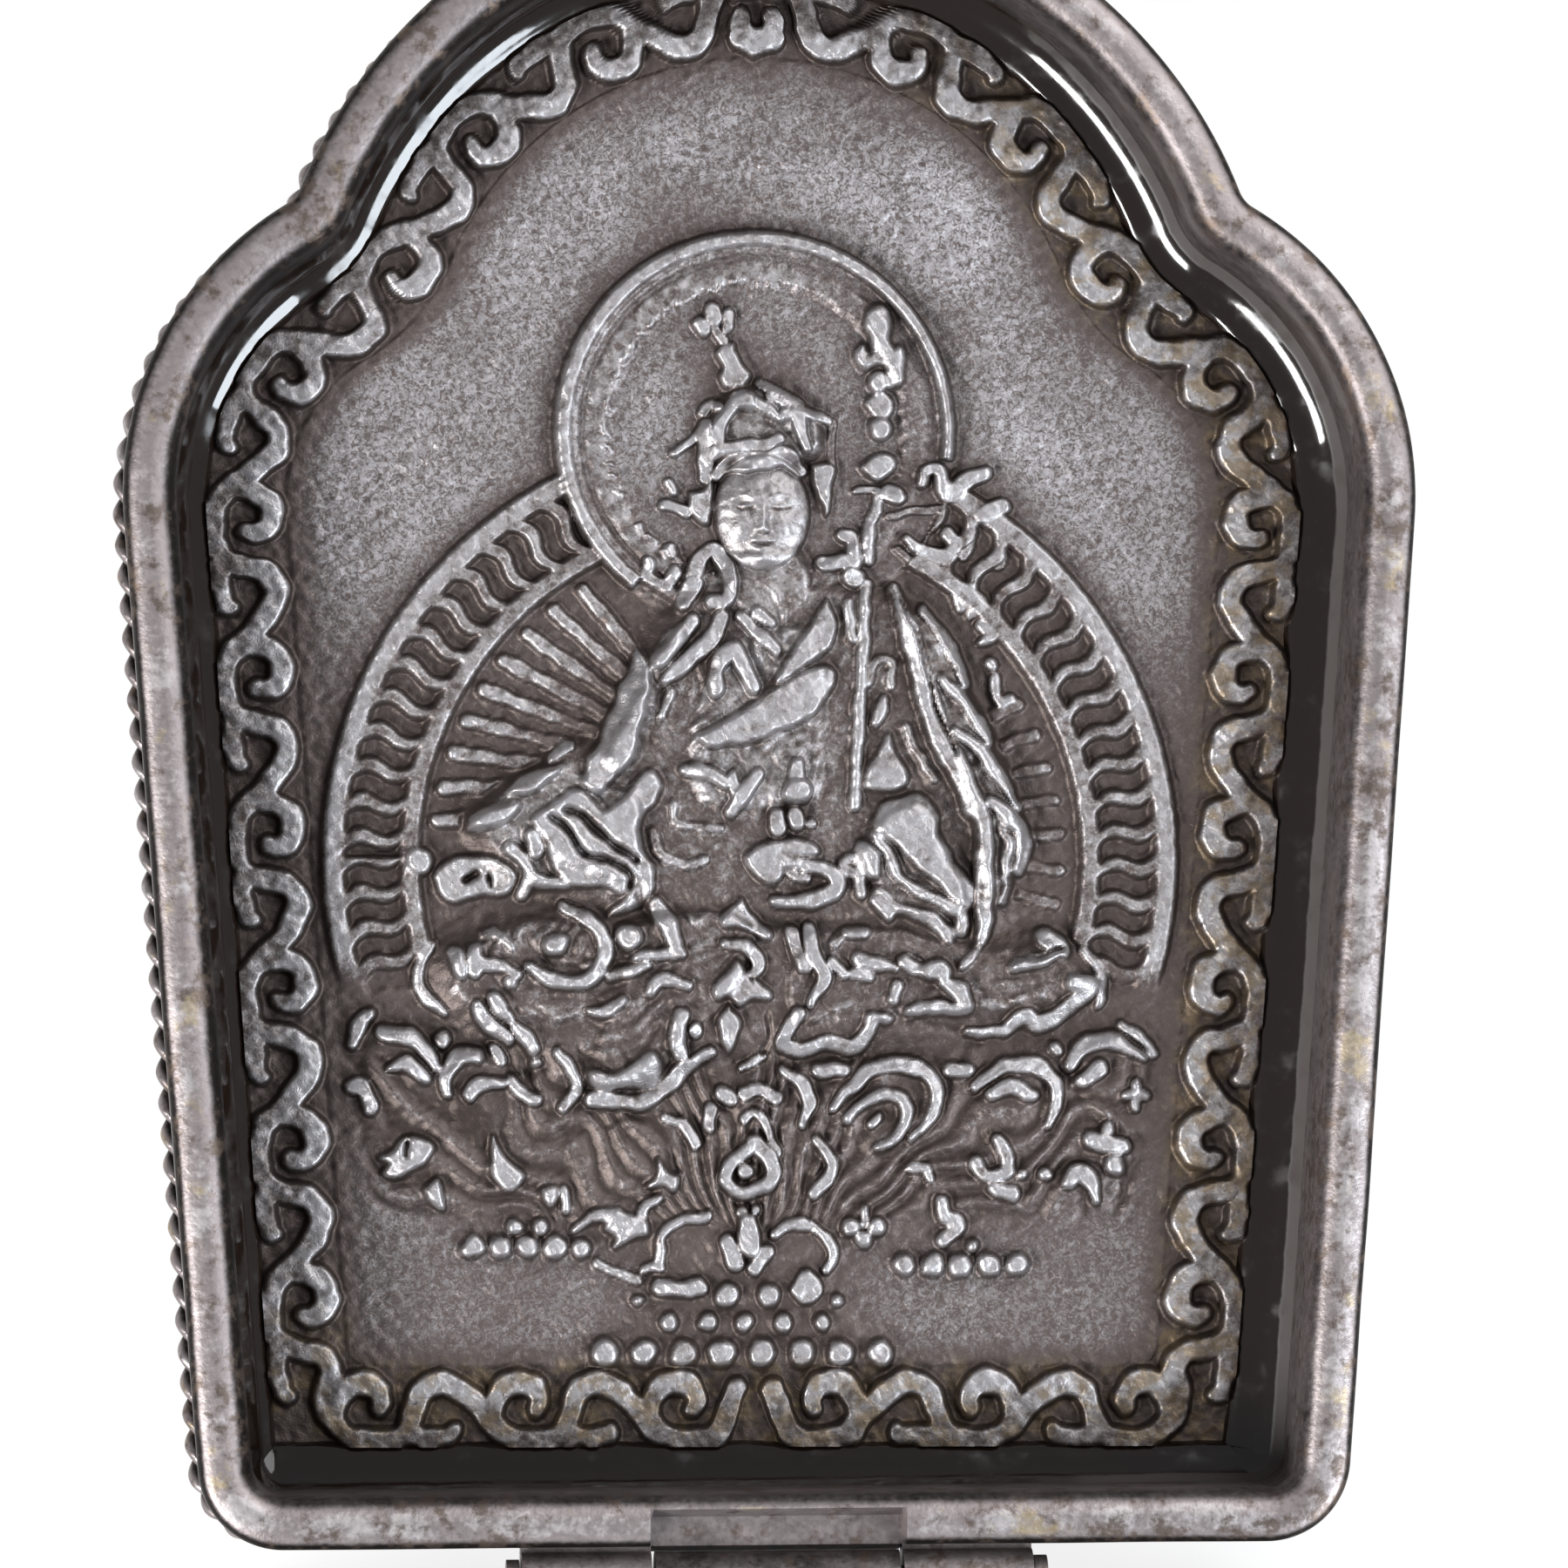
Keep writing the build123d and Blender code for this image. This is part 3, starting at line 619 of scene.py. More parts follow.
def facet(*points, rise=0.32, bright=0.9):
    """A raised face with a rounded edge inside a closed outline, rubbed bright."""
    part, depth = depth_in(points, 0.3)
    ridge[part] = np.maximum(ridge[part], rise * smooth(-0.13, 0.04, depth))
    shine[part] = np.maximum(shine[part], bright * smooth(-0.09, 0.02, depth))


def score(half_width, *points):
    """A dark line cut into the ridges and the mass along a curve."""
    curve, _ = bent(points, STROKE_STEP)
    part = window(curve, 0.4)
    x, y = AX[part][..., None], AY[part][..., None]
    cut = smooth(half_width * 0.6, half_width * 1.6, np.hypot(x - curve[:, 0], y - curve[:, 1]).min(2))
    ridge[part] *= 0.25 + 0.75 * cut
    shine[part] *= 0.1 + 0.9 * cut
    mass[part] -= 0.1 * (1 - cut)


def plateau(a, b, c, d, value):
    """0, then up to 1 between the first two values and down again between the last two, with soft ends."""
    return smooth(a, b, value) * (1 - smooth(c, d, value))


# Aureole behind the body: a raised band cut by wavy slots, and rays inside it
AUREOLE = np.array([-0.1, 19.5])
BAND_IN, BAND_OUT = 9.05, 11.8
SLOT_IN, SLOT_OUT = 9.55, 11.2
SLOT_PITCH = 5.25
SLOT_START = 132.7
RAY_PITCH = 6.4
aureole_r = np.hypot(X - AUREOLE[0], Y - AUREOLE[1])
aureole_turn = np.degrees(np.arctan2(Y - AUREOLE[1], X - AUREOLE[0]))
band = plateau(BAND_IN - 0.06, BAND_IN + 0.12, BAND_OUT - 0.14, BAND_OUT + 0.05, aureole_r)
slot_s = (aureole_r - SLOT_IN) / (SLOT_OUT - SLOT_IN)
lean = 1.9 * (slot_s - 0.5) + 0.9 * np.sin(2 * math.pi * slot_s)
slot_turn = (aureole_turn - SLOT_START - lean + SLOT_PITCH / 2) % SLOT_PITCH - SLOT_PITCH / 2
slot_off = np.abs(np.radians(slot_turn)) * aureole_r
slots = (1 - smooth(0.22, 0.33, slot_off)) * plateau(-0.02, 0.1, 0.9, 1.02, slot_s)
upper = smooth(15.4, 17.0, Y)
band_height = 0.3 * band * (1 - slots) * upper
rim_line = smooth(SLOT_OUT, SLOT_OUT + 0.1, aureole_r) * band
band_shine = band * (1 - slots) * upper * (0.5 + 0.3 * rim_line)

# Halo disc behind the head, with a rim that is broader on the left, and a broken ring inside it
HALO = np.array([0.0, 31.2])
HALO_R = 5.3
halo_r = np.hypot(X - HALO[0], Y - HALO[1])
halo_turn = np.degrees(np.arctan2(Y - HALO[1], X - HALO[0]))
in_halo = smooth(-0.05, 0.05, HALO_R + 0.2 - halo_r)
behind_halo = 1 - in_halo
rim_half = 0.19 + 0.06 * np.cos(np.radians(halo_turn - 160))
halo_rim = 1 - smooth(0.5, 1.0, np.abs(halo_r - HALO_R) / (rim_half + 0.08))
halo_rim = halo_rim * np.where((halo_turn > -8) | (halo_turn < -128), 1, 0)
inner_band = plateau(3.95, 4.2, 4.6, 4.85, halo_r)
# The inner band, its lip and the flecks on the inner ring are painted brighter on the left: a painted
# highlight.
lit_left_side = 0.3 + 0.7 * smooth(20, 100, np.abs(halo_turn))
mass += (0.1 + 0.12 * inner_band) * in_halo
ridge = np.maximum(ridge, behind_halo * band_height)
shine = np.maximum(shine, behind_halo * band_shine)

# Rays on the left and on the right: angles, radius of the tips, height they aim at, length and stroke
for turns, reach, aim_y, length, half_widths, rise, bright in (
    (SLOT_START - 10.3 + RAY_PITCH * np.arange(9), 8.65, 21.3, 3.4, (0.15, 0.15, 0.1), 0.24, (0.8, 0.5, 0.1)),
    (30.0 - RAY_PITCH * np.arange(7), 8.5, 20.3, 1.6, (0.12, 0.09), 0.2, (0.5, 0.1)),
):
    for turn in np.radians(turns):
        tip = AUREOLE + reach * np.array([math.cos(turn), math.sin(turn)])
        inward = np.array([0.0, aim_y]) - tip
        root = tip + inward / np.hypot(*inward) * length
        chase(half_widths, tip, (tip + root) / 2, root, rise=rise, bright=bright)
off_halo = np.where(in_halo > 0.5, 0, 1)
ridge = np.maximum(ridge * off_halo, 0.38 * halo_rim)
shine = np.maximum(shine * off_halo, halo_rim * 0.7)
shine = np.maximum(shine, 0.8 * inner_band * lit_left_side * (0.75 + 0.25 * drift(0.4, 42)))
halo_lip = plateau(4.72, 4.95, 5.1, 5.3, halo_r) * (2 * lit_left_side - 1).clip(0, 1)
shine = np.maximum(shine, 0.55 * halo_lip * (0.8 + 0.2 * drift(0.5, 43)))
ridge = np.maximum(ridge, 0.22 * halo_lip)
flecks = np.exp(-(((halo_r - 4.1) / 0.12) ** 2)) * lit_left_side * smooth(0.0, 0.8, drift(0.3, 37))
shine = np.maximum(shine, flecks)
ridge = np.maximum(ridge, 0.12 * flecks)

# Low masses under the chasing: body, sleeve, knees, neck, hat, throne and pedestal
before_figure = mass.copy()
swell([(-1.2, 27.4), (1.6, 27.4), (3.6, 27.0), (4.8, 26.2), (5.9, 24.4), (6.9, 22.2), (7.6, 20.2),
       (7.3, 18.6), (6.4, 17.0), (3.0, 17.2), (0.0, 17.6), (-3.0, 18.0), (-4.2, 20.4), (-4.6, 22.2),
       (-3.4, 25.0), (-2.6, 26.4)], 0.38, 0.7)
swell([(-3.2, 25.0), (-4.2, 23.0), (-5.3, 22.6), (-7.9, 20.9), (-7.8, 19.8), (-6.2, 18.5), (-3.2, 18.0),
       (-2.8, 21.8)], 0.42, 0.6)
swell([(-9.2, 16.6), (-8.4, 17.6), (-5.2, 18.3), (-2.0, 18.2), (0.0, 18.0), (3.0, 18.2), (6.5, 17.6),
       (8.4, 17.5), (9.6, 16.6), (9.3, 15.4), (6.5, 14.6), (3.0, 14.2), (0.0, 14.0), (-2.4, 13.2),
       (-4.6, 12.7), (-6.6, 14.0), (-8.7, 15.2)], 0.4, 0.8)
swell([(-0.8, 28.0), (1.3, 28.0), (1.7, 26.6), (0.4, 25.3), (-1.0, 26.6)], 0.45, 0.5)
swell([(-1.4, 30.2), (1.5, 30.3), (2.0, 31.3), (1.1, 32.2), (-0.3, 32.6), (-1.1, 32.1), (-1.7, 31.3)],
      0.5, 0.45)
swell([(-11.0, 15.2), (-8.6, 14.6), (-4.6, 13.4), (0.0, 14.0), (4.0, 14.4), (8.6, 14.8), (11.0, 15.0),
       (10.7, 12.0), (9.7, 9.9), (5.0, 9.4), (2.0, 8.2), (0.0, 7.9), (-2.0, 8.2), (-5.0, 9.4),
       (-9.4, 9.9), (-10.6, 12.4)], 0.16, 0.8)
swell([(-2.6, 10.0), (2.4, 10.0), (2.2, 8.0), (2.8, 7.0), (3.8, 5.6), (-4.5, 5.6), (-3.2, 7.0),
       (-2.6, 8.0)], 0.1, 0.4)
swell([(-2.2, 26.2), (-2.9, 25.4), (-3.5, 24.0), (-4.4, 22.2), (-3.6, 21.5), (-2.9, 22.4), (-2.4, 24.0),
       (-1.7, 25.6)], 0.62, 0.45)
swell([(-4.4, 21.9), (-5.6, 22.2), (-7.6, 21.0), (-8.0, 20.4), (-7.4, 19.8), (-6.2, 19.6), (-5.2, 19.0),
       (-3.6, 18.6), (-3.0, 19.2), (-3.0, 21.2)], 0.58, 0.45)
swell([(-1.4, 26.2), (1.6, 26.4), (2.4, 25.0), (2.5, 22.5), (1.8, 20.6), (-1.6, 20.4), (-2.4, 22.5),
       (-1.9, 24.5)], 0.55, 0.9)
swell([(3.4, 26.9), (4.8, 26.2), (5.9, 24.4), (6.9, 22.2), (7.5, 20.2), (7.2, 18.8), (6.4, 17.3),
       (5.9, 19.0), (5.3, 21.8), (4.4, 24.2)], 0.56, 0.5)
swell([(3.0, 20.6), (4.2, 21.3), (5.0, 20.9), (5.5, 19.6), (6.0, 18.6), (5.6, 17.6), (4.2, 17.8),
       (3.2, 18.5), (2.6, 19.5)], 0.6, 0.4)
swell([(-9.0, 16.4), (-8.2, 17.4), (-5.4, 18.2), (-4.2, 17.6), (-3.8, 16.2), (-4.6, 14.8), (-6.4, 14.6),
       (-8.4, 15.3)], 0.58, 0.7)
swell([(-3.6, 18.0), (-1.0, 18.3), (0.2, 17.4), (-0.4, 15.6), (-1.6, 14.4), (-3.0, 13.2), (-4.6, 13.0),
       (-4.9, 14.0), (-4.0, 16.0)], 0.54, 0.5)
swell([(1.0, 17.8), (4.0, 18.0), (6.4, 17.4), (8.3, 17.4), (9.4, 16.5), (9.0, 15.5), (6.6, 14.9),
       (3.2, 14.6), (1.0, 14.6), (0.4, 16.0)], 0.56, 0.7)
for petal in (
    [(-10.9, 14.2), (-10.0, 14.9), (-9.0, 14.5), (-8.8, 13.4), (-9.6, 12.4), (-10.4, 12.6)],
    [(-8.6, 12.8), (-8.5, 13.8), (-7.7, 14.3), (-6.8, 13.6), (-6.6, 12.4), (-7.4, 11.4), (-8.3, 11.8)],
    [(-6.6, 13.0), (-5.9, 13.9), (-5.0, 13.8), (-4.8, 12.6), (-5.6, 11.4), (-6.4, 11.8)],
    [(-4.4, 12.2), (-3.4, 12.6), (-2.4, 12.4), (-2.0, 11.6), (-2.6, 10.6), (-4.0, 10.6)],
    [(-1.4, 12.6), (0.0, 13.2), (1.4, 12.8), (1.6, 11.4), (0.8, 10.2), (-0.9, 10.2), (-1.6, 11.2)],
    [(2.0, 12.4), (2.7, 13.4), (3.8, 14.0), (4.8, 13.7), (5.1, 12.8), (4.4, 11.6), (3.2, 11.2)],
    [(5.8, 12.8), (6.4, 13.7), (7.4, 14.0), (8.3, 13.5), (8.3, 12.4), (7.4, 11.4), (6.2, 11.6)],
    [(8.5, 13.6), (9.2, 14.6), (10.2, 14.6), (11.0, 13.9), (10.6, 12.7), (9.4, 12.2)],
):
    swell(petal, 0.28, 0.4)
covered = smooth(0.02, 0.1, mass - before_figure)
ridge *= 1 - covered
shine *= 1 - covered

# Hat: finial, crown, raised front and side flaps
chase(0.2, (-1.2, 34.5), (-1.17, 34.3))
chase(0.11, (-0.77, 34.42), (-0.77, 34.05))
chase(0.16, (-1.55, 34.15), (-1.45, 33.95))
chase(0.08, (-1.1, 34.0), (-0.9, 33.7))
facet((-1.05, 33.35), (-0.9, 33.55), (-0.65, 33.55), (-0.6, 33.35), (-0.4, 33.05), (-0.15, 32.8),
      (-0.3, 32.55), (-0.6, 32.45), (-0.9, 32.45), (-1.0, 32.65), (-0.9, 32.9))
facet((-0.7, 32.1), (-0.55, 32.3), (-0.25, 32.3), (-0.1, 32.1), (-0.1, 31.85), (-0.4, 31.8), (-0.6, 31.85))
chase((0.16, 0.12, 0.13), (-0.45, 32.1), (-0.72, 31.8), (-1.0, 31.35), (-1.1, 30.95))
chase((0.12, 0.06), (-0.1, 32.0), (0.3, 31.8), (0.65, 31.55))
chase((0.17, 0.15, 0.08), (-1.1, 30.65), (-0.5, 30.75), (0.1, 30.8), (0.6, 30.95))
chase((0.05, 0.1), (-2.25, 30.6), (-1.8, 30.9), (-1.4, 31.25))
chase(0.13, (-1.4, 31.3), (-1.4, 30.8), (-1.38, 30.4), (-1.4, 29.9))
chase(0.15, (-1.35, 30.55), (-1.1, 30.65))
chase(0.07, (-1.5, 31.65), (-1.3, 31.95), (-1.05, 31.9))
chase(0.09, (0.1, 32.5), (0.6, 32.25), (1.15, 31.95))
chase(0.06, (0.35, 32.15), (0.9, 32.0), bright=0.7)
chase((0.12, 0.12, 0.08), (0.85, 31.7), (1.4, 31.7), (1.95, 31.5))
chase((0.12, 0.12, 0.06), (1.1, 31.7), (1.2, 31.3), (1.35, 30.75))
chase(0.04, (2.1, 31.5), (2.07, 30.3), bright=0.4)
chase((0.14, 0.2, 0.22, 0.22, 0.12), (-1.1, 30.0), (-0.8, 30.25), (0.1, 30.38), (0.75, 30.5), (1.2, 30.1))

# Ear ornaments, hair and shoulder ornaments
facet((-1.8, 29.5), (-1.45, 29.55), (-1.3, 29.8), (-1.25, 29.05), (-1.35, 28.65), (-1.7, 28.9), (-1.8, 29.15))
chase(0.12, (-2.5, 29.15), (-1.9, 29.0))
chase(0.08, (-2.4, 29.75), (-2.25, 29.55))
facet((1.55, 30.25), (2.1, 30.2), (2.05, 29.6), (1.95, 28.95), (1.85, 29.1), (1.7, 29.4), (1.6, 29.85),
      bright=0.7)
chase(0.16, (-1.75, 27.2), (-1.5, 27.75), (-1.1, 27.9), (-0.75, 27.3), (-0.8, 26.6), (-1.2, 26.5))
chase(0.2, (-1.7, 27.0), (-2.0, 26.5))
chase(0.14, (-2.95, 27.55), (-2.95, 27.2), (-2.5, 27.0), (-2.2, 27.3))
chase(0.1, (-2.35, 28.0), (-2.3, 27.8))
chase(0.16, (2.4, 28.35), (2.65, 28.25), (2.65, 27.6), (2.3, 27.6), (1.85, 27.6))
chase(0.26, (2.7, 27.2))

# Staff with its blade, heads and vase, and the ribbons beside it
facet((3.1, 34.5), (3.4, 34.7), (3.65, 34.45), (3.65, 33.8), (3.75, 33.4), (3.9, 33.5), (4.05, 33.25),
      (4.0, 32.65), (3.8, 32.5), (3.6, 32.45), (3.6, 32.9), (3.35, 33.05), (3.0, 32.95), (2.8, 33.1),
      (2.75, 33.4), (2.95, 33.6), (3.05, 33.35), (3.2, 33.45), (3.15, 33.9), (3.0, 34.1))
chase(0.25, (3.35, 32.57))
chase(0.12, (3.15, 31.95), (3.4, 32.15), (3.62, 31.95), (3.4, 31.72), (3.15, 31.95))
chase(0.28, (3.44, 31.3))
facet((2.95, 30.25), (3.2, 30.5), (3.55, 30.55), (3.8, 30.4), (3.7, 30.1), (3.4, 29.9), (3.15, 30.0))
chase(0.19, (3.65, 29.53), (3.88, 29.47))
chase(0.05, (2.75, 29.6), (3.3, 29.6))
chase(0.12, (3.35, 29.5), (3.38, 29.2), (3.15, 28.8))
chase(0.11, (3.12, 28.65), (3.12, 27.7))
chase((0.12, 0.1, 0.08), (3.05, 27.0), (2.95, 25.5), (2.8, 22.5), (2.7, 20.9))
chase((0.1, 0.1, 0.12, 0.16, 0.22, 0.24, 0.2, 0.15), (4.6, 29.8), (4.65, 30.1), (4.95, 30.2),
      (5.1, 29.95), (5.2, 29.65), (5.4, 29.5), (5.7, 29.8), (6.3, 30.1))
chase((0.16, 0.22, 0.16), (6.2, 28.95), (6.5, 29.05), (6.8, 29.2))
chase((0.05, 0.12, 0.17, 0.16, 0.12), (4.15, 28.3), (4.55, 27.95), (5.25, 27.8), (5.5, 28.1), (5.25, 28.45))
chase(0.07, (5.9, 28.3), (5.9, 28.0), (5.75, 27.8))
chase(0.08, (5.3, 27.0), (5.75, 26.95), (6.2, 26.65), (6.25, 26.4), (5.9, 26.2))
chase(0.09, (5.5, 26.85), (5.65, 26.4))
chase((0.08, 0.16, 0.06), (6.2, 25.9), (6.45, 25.65), (6.25, 25.45))
chase(0.14, (6.5, 24.87))
chase(0.1, (6.6, 24.5), (6.65, 24.0), (6.8, 23.75), (7.0, 23.9))
chase(0.05, (3.7, 28.9), (4.5, 29.05), (5.3, 29.1), bright=0.5)
chase(0.05, (3.9, 28.0), (4.6, 27.4), (5.4, 27.05), bright=0.5)
chase(0.06, (6.75, 28.4), (6.85, 27.9), (6.7, 27.5), bright=0.6)

# Collar, sash and belt
chase(0.15, (-1.75, 26.0), (-2.2, 25.4), (-2.65, 24.9))
chase((0.15, 0.22, 0.2, 0.1), (-0.95, 26.1), (-1.3, 25.4), (-1.9, 24.9), (-2.5, 24.3))
chase(0.06, (-2.3, 24.0), (-2.6, 23.4))
chase(0.18, (-1.1, 24.1), (-1.1, 24.7), (-0.7, 25.2), (-0.4, 24.8), (-0.1, 24.2))
chase(0.12, (-0.4, 26.1), (0.0, 25.7), (0.5, 25.2))
chase(0.08, (0.0, 26.2), (0.4, 25.95))
facet((1.95, 26.5), (2.15, 25.95), (1.95, 25.3), (1.0, 24.55), (0.5, 24.35), (1.15, 25.3), (1.55, 25.95),
      bright=0.75)
facet((-1.6, 22.8), (-0.1, 23.65), (0.35, 24.05), (1.45, 24.6), (2.0, 24.7), (2.1, 24.35), (1.55, 23.5),
      (0.5, 22.95), (-0.45, 22.65), (-1.2, 22.6))
chase(0.06, (2.5, 26.5), (2.65, 25.5))
chase((0.08, 0.15, 0.13), (-1.95, 21.9), (-1.3, 21.8), (-0.85, 21.55))
chase(0.12, (-0.7, 21.7), (-0.55, 21.35))
chase((0.12, 0.17, 0.12), (0.0, 21.75), (-0.35, 21.25), (-0.7, 20.75))
chase(0.05, (-2.25, 20.95), (-2.1, 20.4), (-0.95, 20.3), bright=0.4)
chase(0.08, (-2.8, 20.2), (-2.6, 19.6), (-2.0, 19.3), (-1.4, 19.4), bright=0.4)

# Left sleeve with its long folds, and the hand that holds a sceptre
facet((-3.25, 25.2), (-3.0, 24.7), (-3.1, 23.5), (-3.25, 22.9), (-3.45, 22.2), (-4.0, 21.6), (-4.4, 21.3),
      (-4.75, 21.6), (-4.55, 22.1), (-4.25, 22.7), (-4.0, 23.4), (-3.65, 24.2))
facet((-6.1, 20.5), (-5.8, 20.75), (-5.45, 20.65), (-5.25, 20.2), (-5.0, 19.9), (-4.8, 19.5),
      (-4.25, 19.4), (-3.7, 19.2), (-3.5, 19.05), (-3.65, 18.55), (-4.1, 18.75), (-4.95, 18.75),
      (-5.35, 19.0), (-5.6, 19.4), (-5.75, 19.8))
facet((-5.7, 20.75), (-5.45, 21.05), (-4.85, 21.3), (-4.45, 21.0), (-4.2, 20.75), (-3.6, 21.1),
      (-3.3, 21.55), (-2.95, 21.85), (-2.65, 21.6), (-2.75, 21.05), (-3.15, 20.7), (-3.25, 20.2),
      (-3.1, 19.65), (-2.9, 19.35), (-2.8, 18.95), (-2.9, 18.45), (-3.15, 18.2), (-3.95, 17.95),
      (-3.5, 18.45), (-3.45, 18.9), (-3.65, 19.25), (-4.25, 19.55), (-4.65, 19.7), (-4.95, 20.05),
      (-5.25, 20.5))
score(0.09, (-5.25, 20.8), (-4.75, 20.6), (-4.25, 20.1), (-3.65, 19.7), (-3.3, 19.4))
score(0.07, (-5.6, 20.6), (-5.15, 20.25), (-4.7, 19.6), (-4.0, 19.35), (-3.5, 19.1), (-3.45, 18.7))
facet((-7.85, 20.3), (-7.45, 20.75), (-6.5, 20.95), (-6.6, 20.7), (-7.1, 20.4))
facet((-6.75, 21.25), (-6.35, 21.7), (-5.45, 21.95), (-5.6, 21.7), (-6.15, 21.35))
chase((0.06, 0.1, 0.06), (-5.6, 22.25), (-5.3, 22.45), (-5.05, 22.55))
facet((-8.75, 18.95), (-8.3, 19.4), (-7.5, 19.5), (-6.9, 19.3), (-6.62, 18.85), (-6.9, 18.5),
      (-7.6, 18.45), (-8.2, 18.3), (-8.6, 18.5))
score(0.09, (-7.95, 18.9), (-7.65, 19.05))
score(0.05, (-7.3, 19.0), (-7.2, 18.7))
chase(0.36, (-9.2, 19.4))
chase(0.13, (-6.7, 19.75), (-6.35, 19.4), (-6.2, 19.0), (-6.4, 18.5))
chase(0.13, (-6.15, 20.1), (-6.0, 19.6))
chase((0.14, 0.14, 0.08), (-6.15, 18.95), (-5.7, 18.8), (-5.25, 18.8))

# Vase and hand in the lap
chase((0.1, 0.17), (1.1, 22.1), (1.1, 21.7))
chase(0.37, (1.1, 21.3))
chase(0.17, (0.57, 20.65), (0.57, 20.3))
chase(0.22, (1.1, 20.6), (1.1, 20.5))
chase(0.11, (1.53, 20.46))
facet((-0.3, 19.55), (0.05, 19.8), (0.5, 19.9), (1.05, 20.0), (1.65, 19.75), (1.6, 19.6), (1.1, 19.6),
      (0.7, 19.4), (0.7, 19.0), (0.45, 18.8), (-0.1, 19.15))
chase((0.1, 0.14, 0.18, 0.2, 0.18, 0.08), (0.8, 19.4), (1.45, 19.3), (2.05, 19.1), (2.25, 18.75),
      (1.8, 18.4), (1.25, 18.3), (0.5, 18.3))
chase(0.1, (0.8, 19.25), (1.1, 19.0), (1.4, 18.95), bright=0.7)
chase(0.1, (2.4, 19.35), (2.7, 19.5), (2.95, 19.15), (2.55, 19.1), (2.4, 19.35))
chase((0.14, 0.18, 0.12), (2.85, 19.8), (3.15, 19.55), (3.2, 19.1))
chase(0.1, (2.85, 18.95), (2.9, 18.5))

# Cloak on the right, with its long edge and folds, and the sleeve below it
chase((0.1, 0.22, 0.28, 0.3, 0.3, 0.26, 0.22, 0.2, 0.18, 0.1), (3.8, 26.9), (4.25, 25.5), (4.6, 24.2),
      (5.05, 22.8), (5.45, 22.1), (5.85, 21.25), (6.2, 20.55), (6.25, 19.95), (6.25, 18.75), (6.3, 17.65),
      (6.2, 17.25), bright=0.8)
chase((0.06, 0.03), (6.2, 17.2), (6.0, 16.9), (5.65, 16.55), bright=0.6)
score(0.04, (4.0, 26.6), (4.6, 25.0), (4.95, 23.6), (5.5, 22.4))
chase((0.08, 0.14, 0.08), (4.6, 26.3), (5.1, 25.7), (5.5, 25.0), (5.75, 24.3))
chase((0.06, 0.12, 0.06), (5.1, 24.4), (5.7, 23.8), (6.2, 23.1), (6.4, 22.65))
chase((0.06, 0.12, 0.08), (5.45, 23.05), (6.15, 22.45), (6.65, 21.8), (7.2, 20.95))
chase((0.08, 0.14, 0.2, 0.12), (6.4, 21.15), (6.8, 20.75), (7.3, 20.3), (7.4, 19.7), (7.25, 19.2))
chase(0.07, (6.65, 20.6), (6.95, 19.95), (6.85, 19.4), (6.95, 18.9), (6.8, 18.3), bright=0.55)
chase(0.06, (4.1, 23.1), (4.5, 22.3), (4.9, 21.7), bright=0.6)
chase(0.05, (3.1, 24.3), (3.3, 24.9), (3.7, 24.9), (3.7, 24.2), bright=0.7)
chase((0.1, 0.18, 0.1), (3.5, 23.8), (3.4, 23.5), (3.28, 23.25))
facet((3.65, 22.85), (3.85, 22.3), (4.1, 21.85), (4.0, 21.5), (3.1, 21.4), (3.05, 21.85), (3.3, 22.25))
facet((3.15, 20.5), (3.5, 20.9), (3.95, 21.15), (4.4, 21.25), (4.7, 21.1), (4.95, 20.7), (4.9, 20.2),
      (5.0, 20.0), (5.3, 19.7), (5.45, 19.4), (5.95, 18.75), (5.95, 18.25), (5.8, 18.1), (5.45, 18.35),
      (5.05, 18.8), (4.5, 19.2), (4.1, 19.6), (3.7, 20.0))
chase((0.07, 0.07, 0.12), (3.25, 20.15), (3.55, 19.7), (3.95, 19.0), (4.5, 18.55), (5.05, 18.35),
      (5.45, 18.05))
chase(0.14, (5.65, 17.95), (5.6, 17.5))
facet((3.15, 18.35), (3.3, 18.7), (3.85, 18.25), (4.4, 18.1), (5.0, 17.9), (5.3, 17.6), (5.45, 17.3),
      (5.3, 17.2), (5.0, 17.5), (4.4, 17.85), (3.85, 18.05), (3.65, 17.85), (3.25, 18.2))

# Knees and hem on the left, with dark fold lines round the knee
chase((0.08, 0.15, 0.18, 0.18, 0.15, 0.13, 0.07), (-5.25, 18.15), (-4.65, 17.85), (-4.2, 17.35),
      (-4.15, 16.7), (-4.45, 16.25), (-5.05, 16.05), (-5.7, 16.2), (-6.2, 16.5))
score(0.05, (-6.5, 17.9), (-5.5, 17.85), (-4.8, 17.4), (-4.7, 16.8), (-5.1, 16.45), (-5.6, 16.6))
score(0.05, (-6.3, 17.4), (-6.0, 16.9), (-5.6, 16.7))
score(0.05, (-5.6, 15.7), (-4.7, 15.6), (-3.9, 16.0))
score(0.05, (-4.7, 15.05), (-4.0, 14.8), (-3.3, 15.1), (-2.9, 15.5))
score(0.05, (-4.4, 14.4), (-3.6, 14.5), (-2.9, 15.0), (-2.4, 15.7))
score(0.05, (-4.9, 14.2), (-4.0, 14.0), (-3.2, 14.3), (-2.6, 14.9))
chase(0.31, (-5.48, 17.12))
chase((0.06, 0.13, 0.13, 0.06), (-8.85, 17.1), (-9.2, 16.5), (-9.15, 15.9), (-8.9, 15.55), (-8.5, 15.25))
chase(0.06, (-7.5, 17.4), (-7.1, 17.45), (-6.7, 17.05), bright=0.6)
chase(0.18, (-8.2, 16.85), (-8.1, 16.4))
chase(0.16, (-7.7, 16.9), (-7.65, 16.4))
chase((0.14, 0.1, 0.06), (-7.5, 16.6), (-6.95, 16.5), (-6.5, 16.3))
chase(0.15, (-6.7, 16.08))
chase(0.33, (-3.5, 17.33))
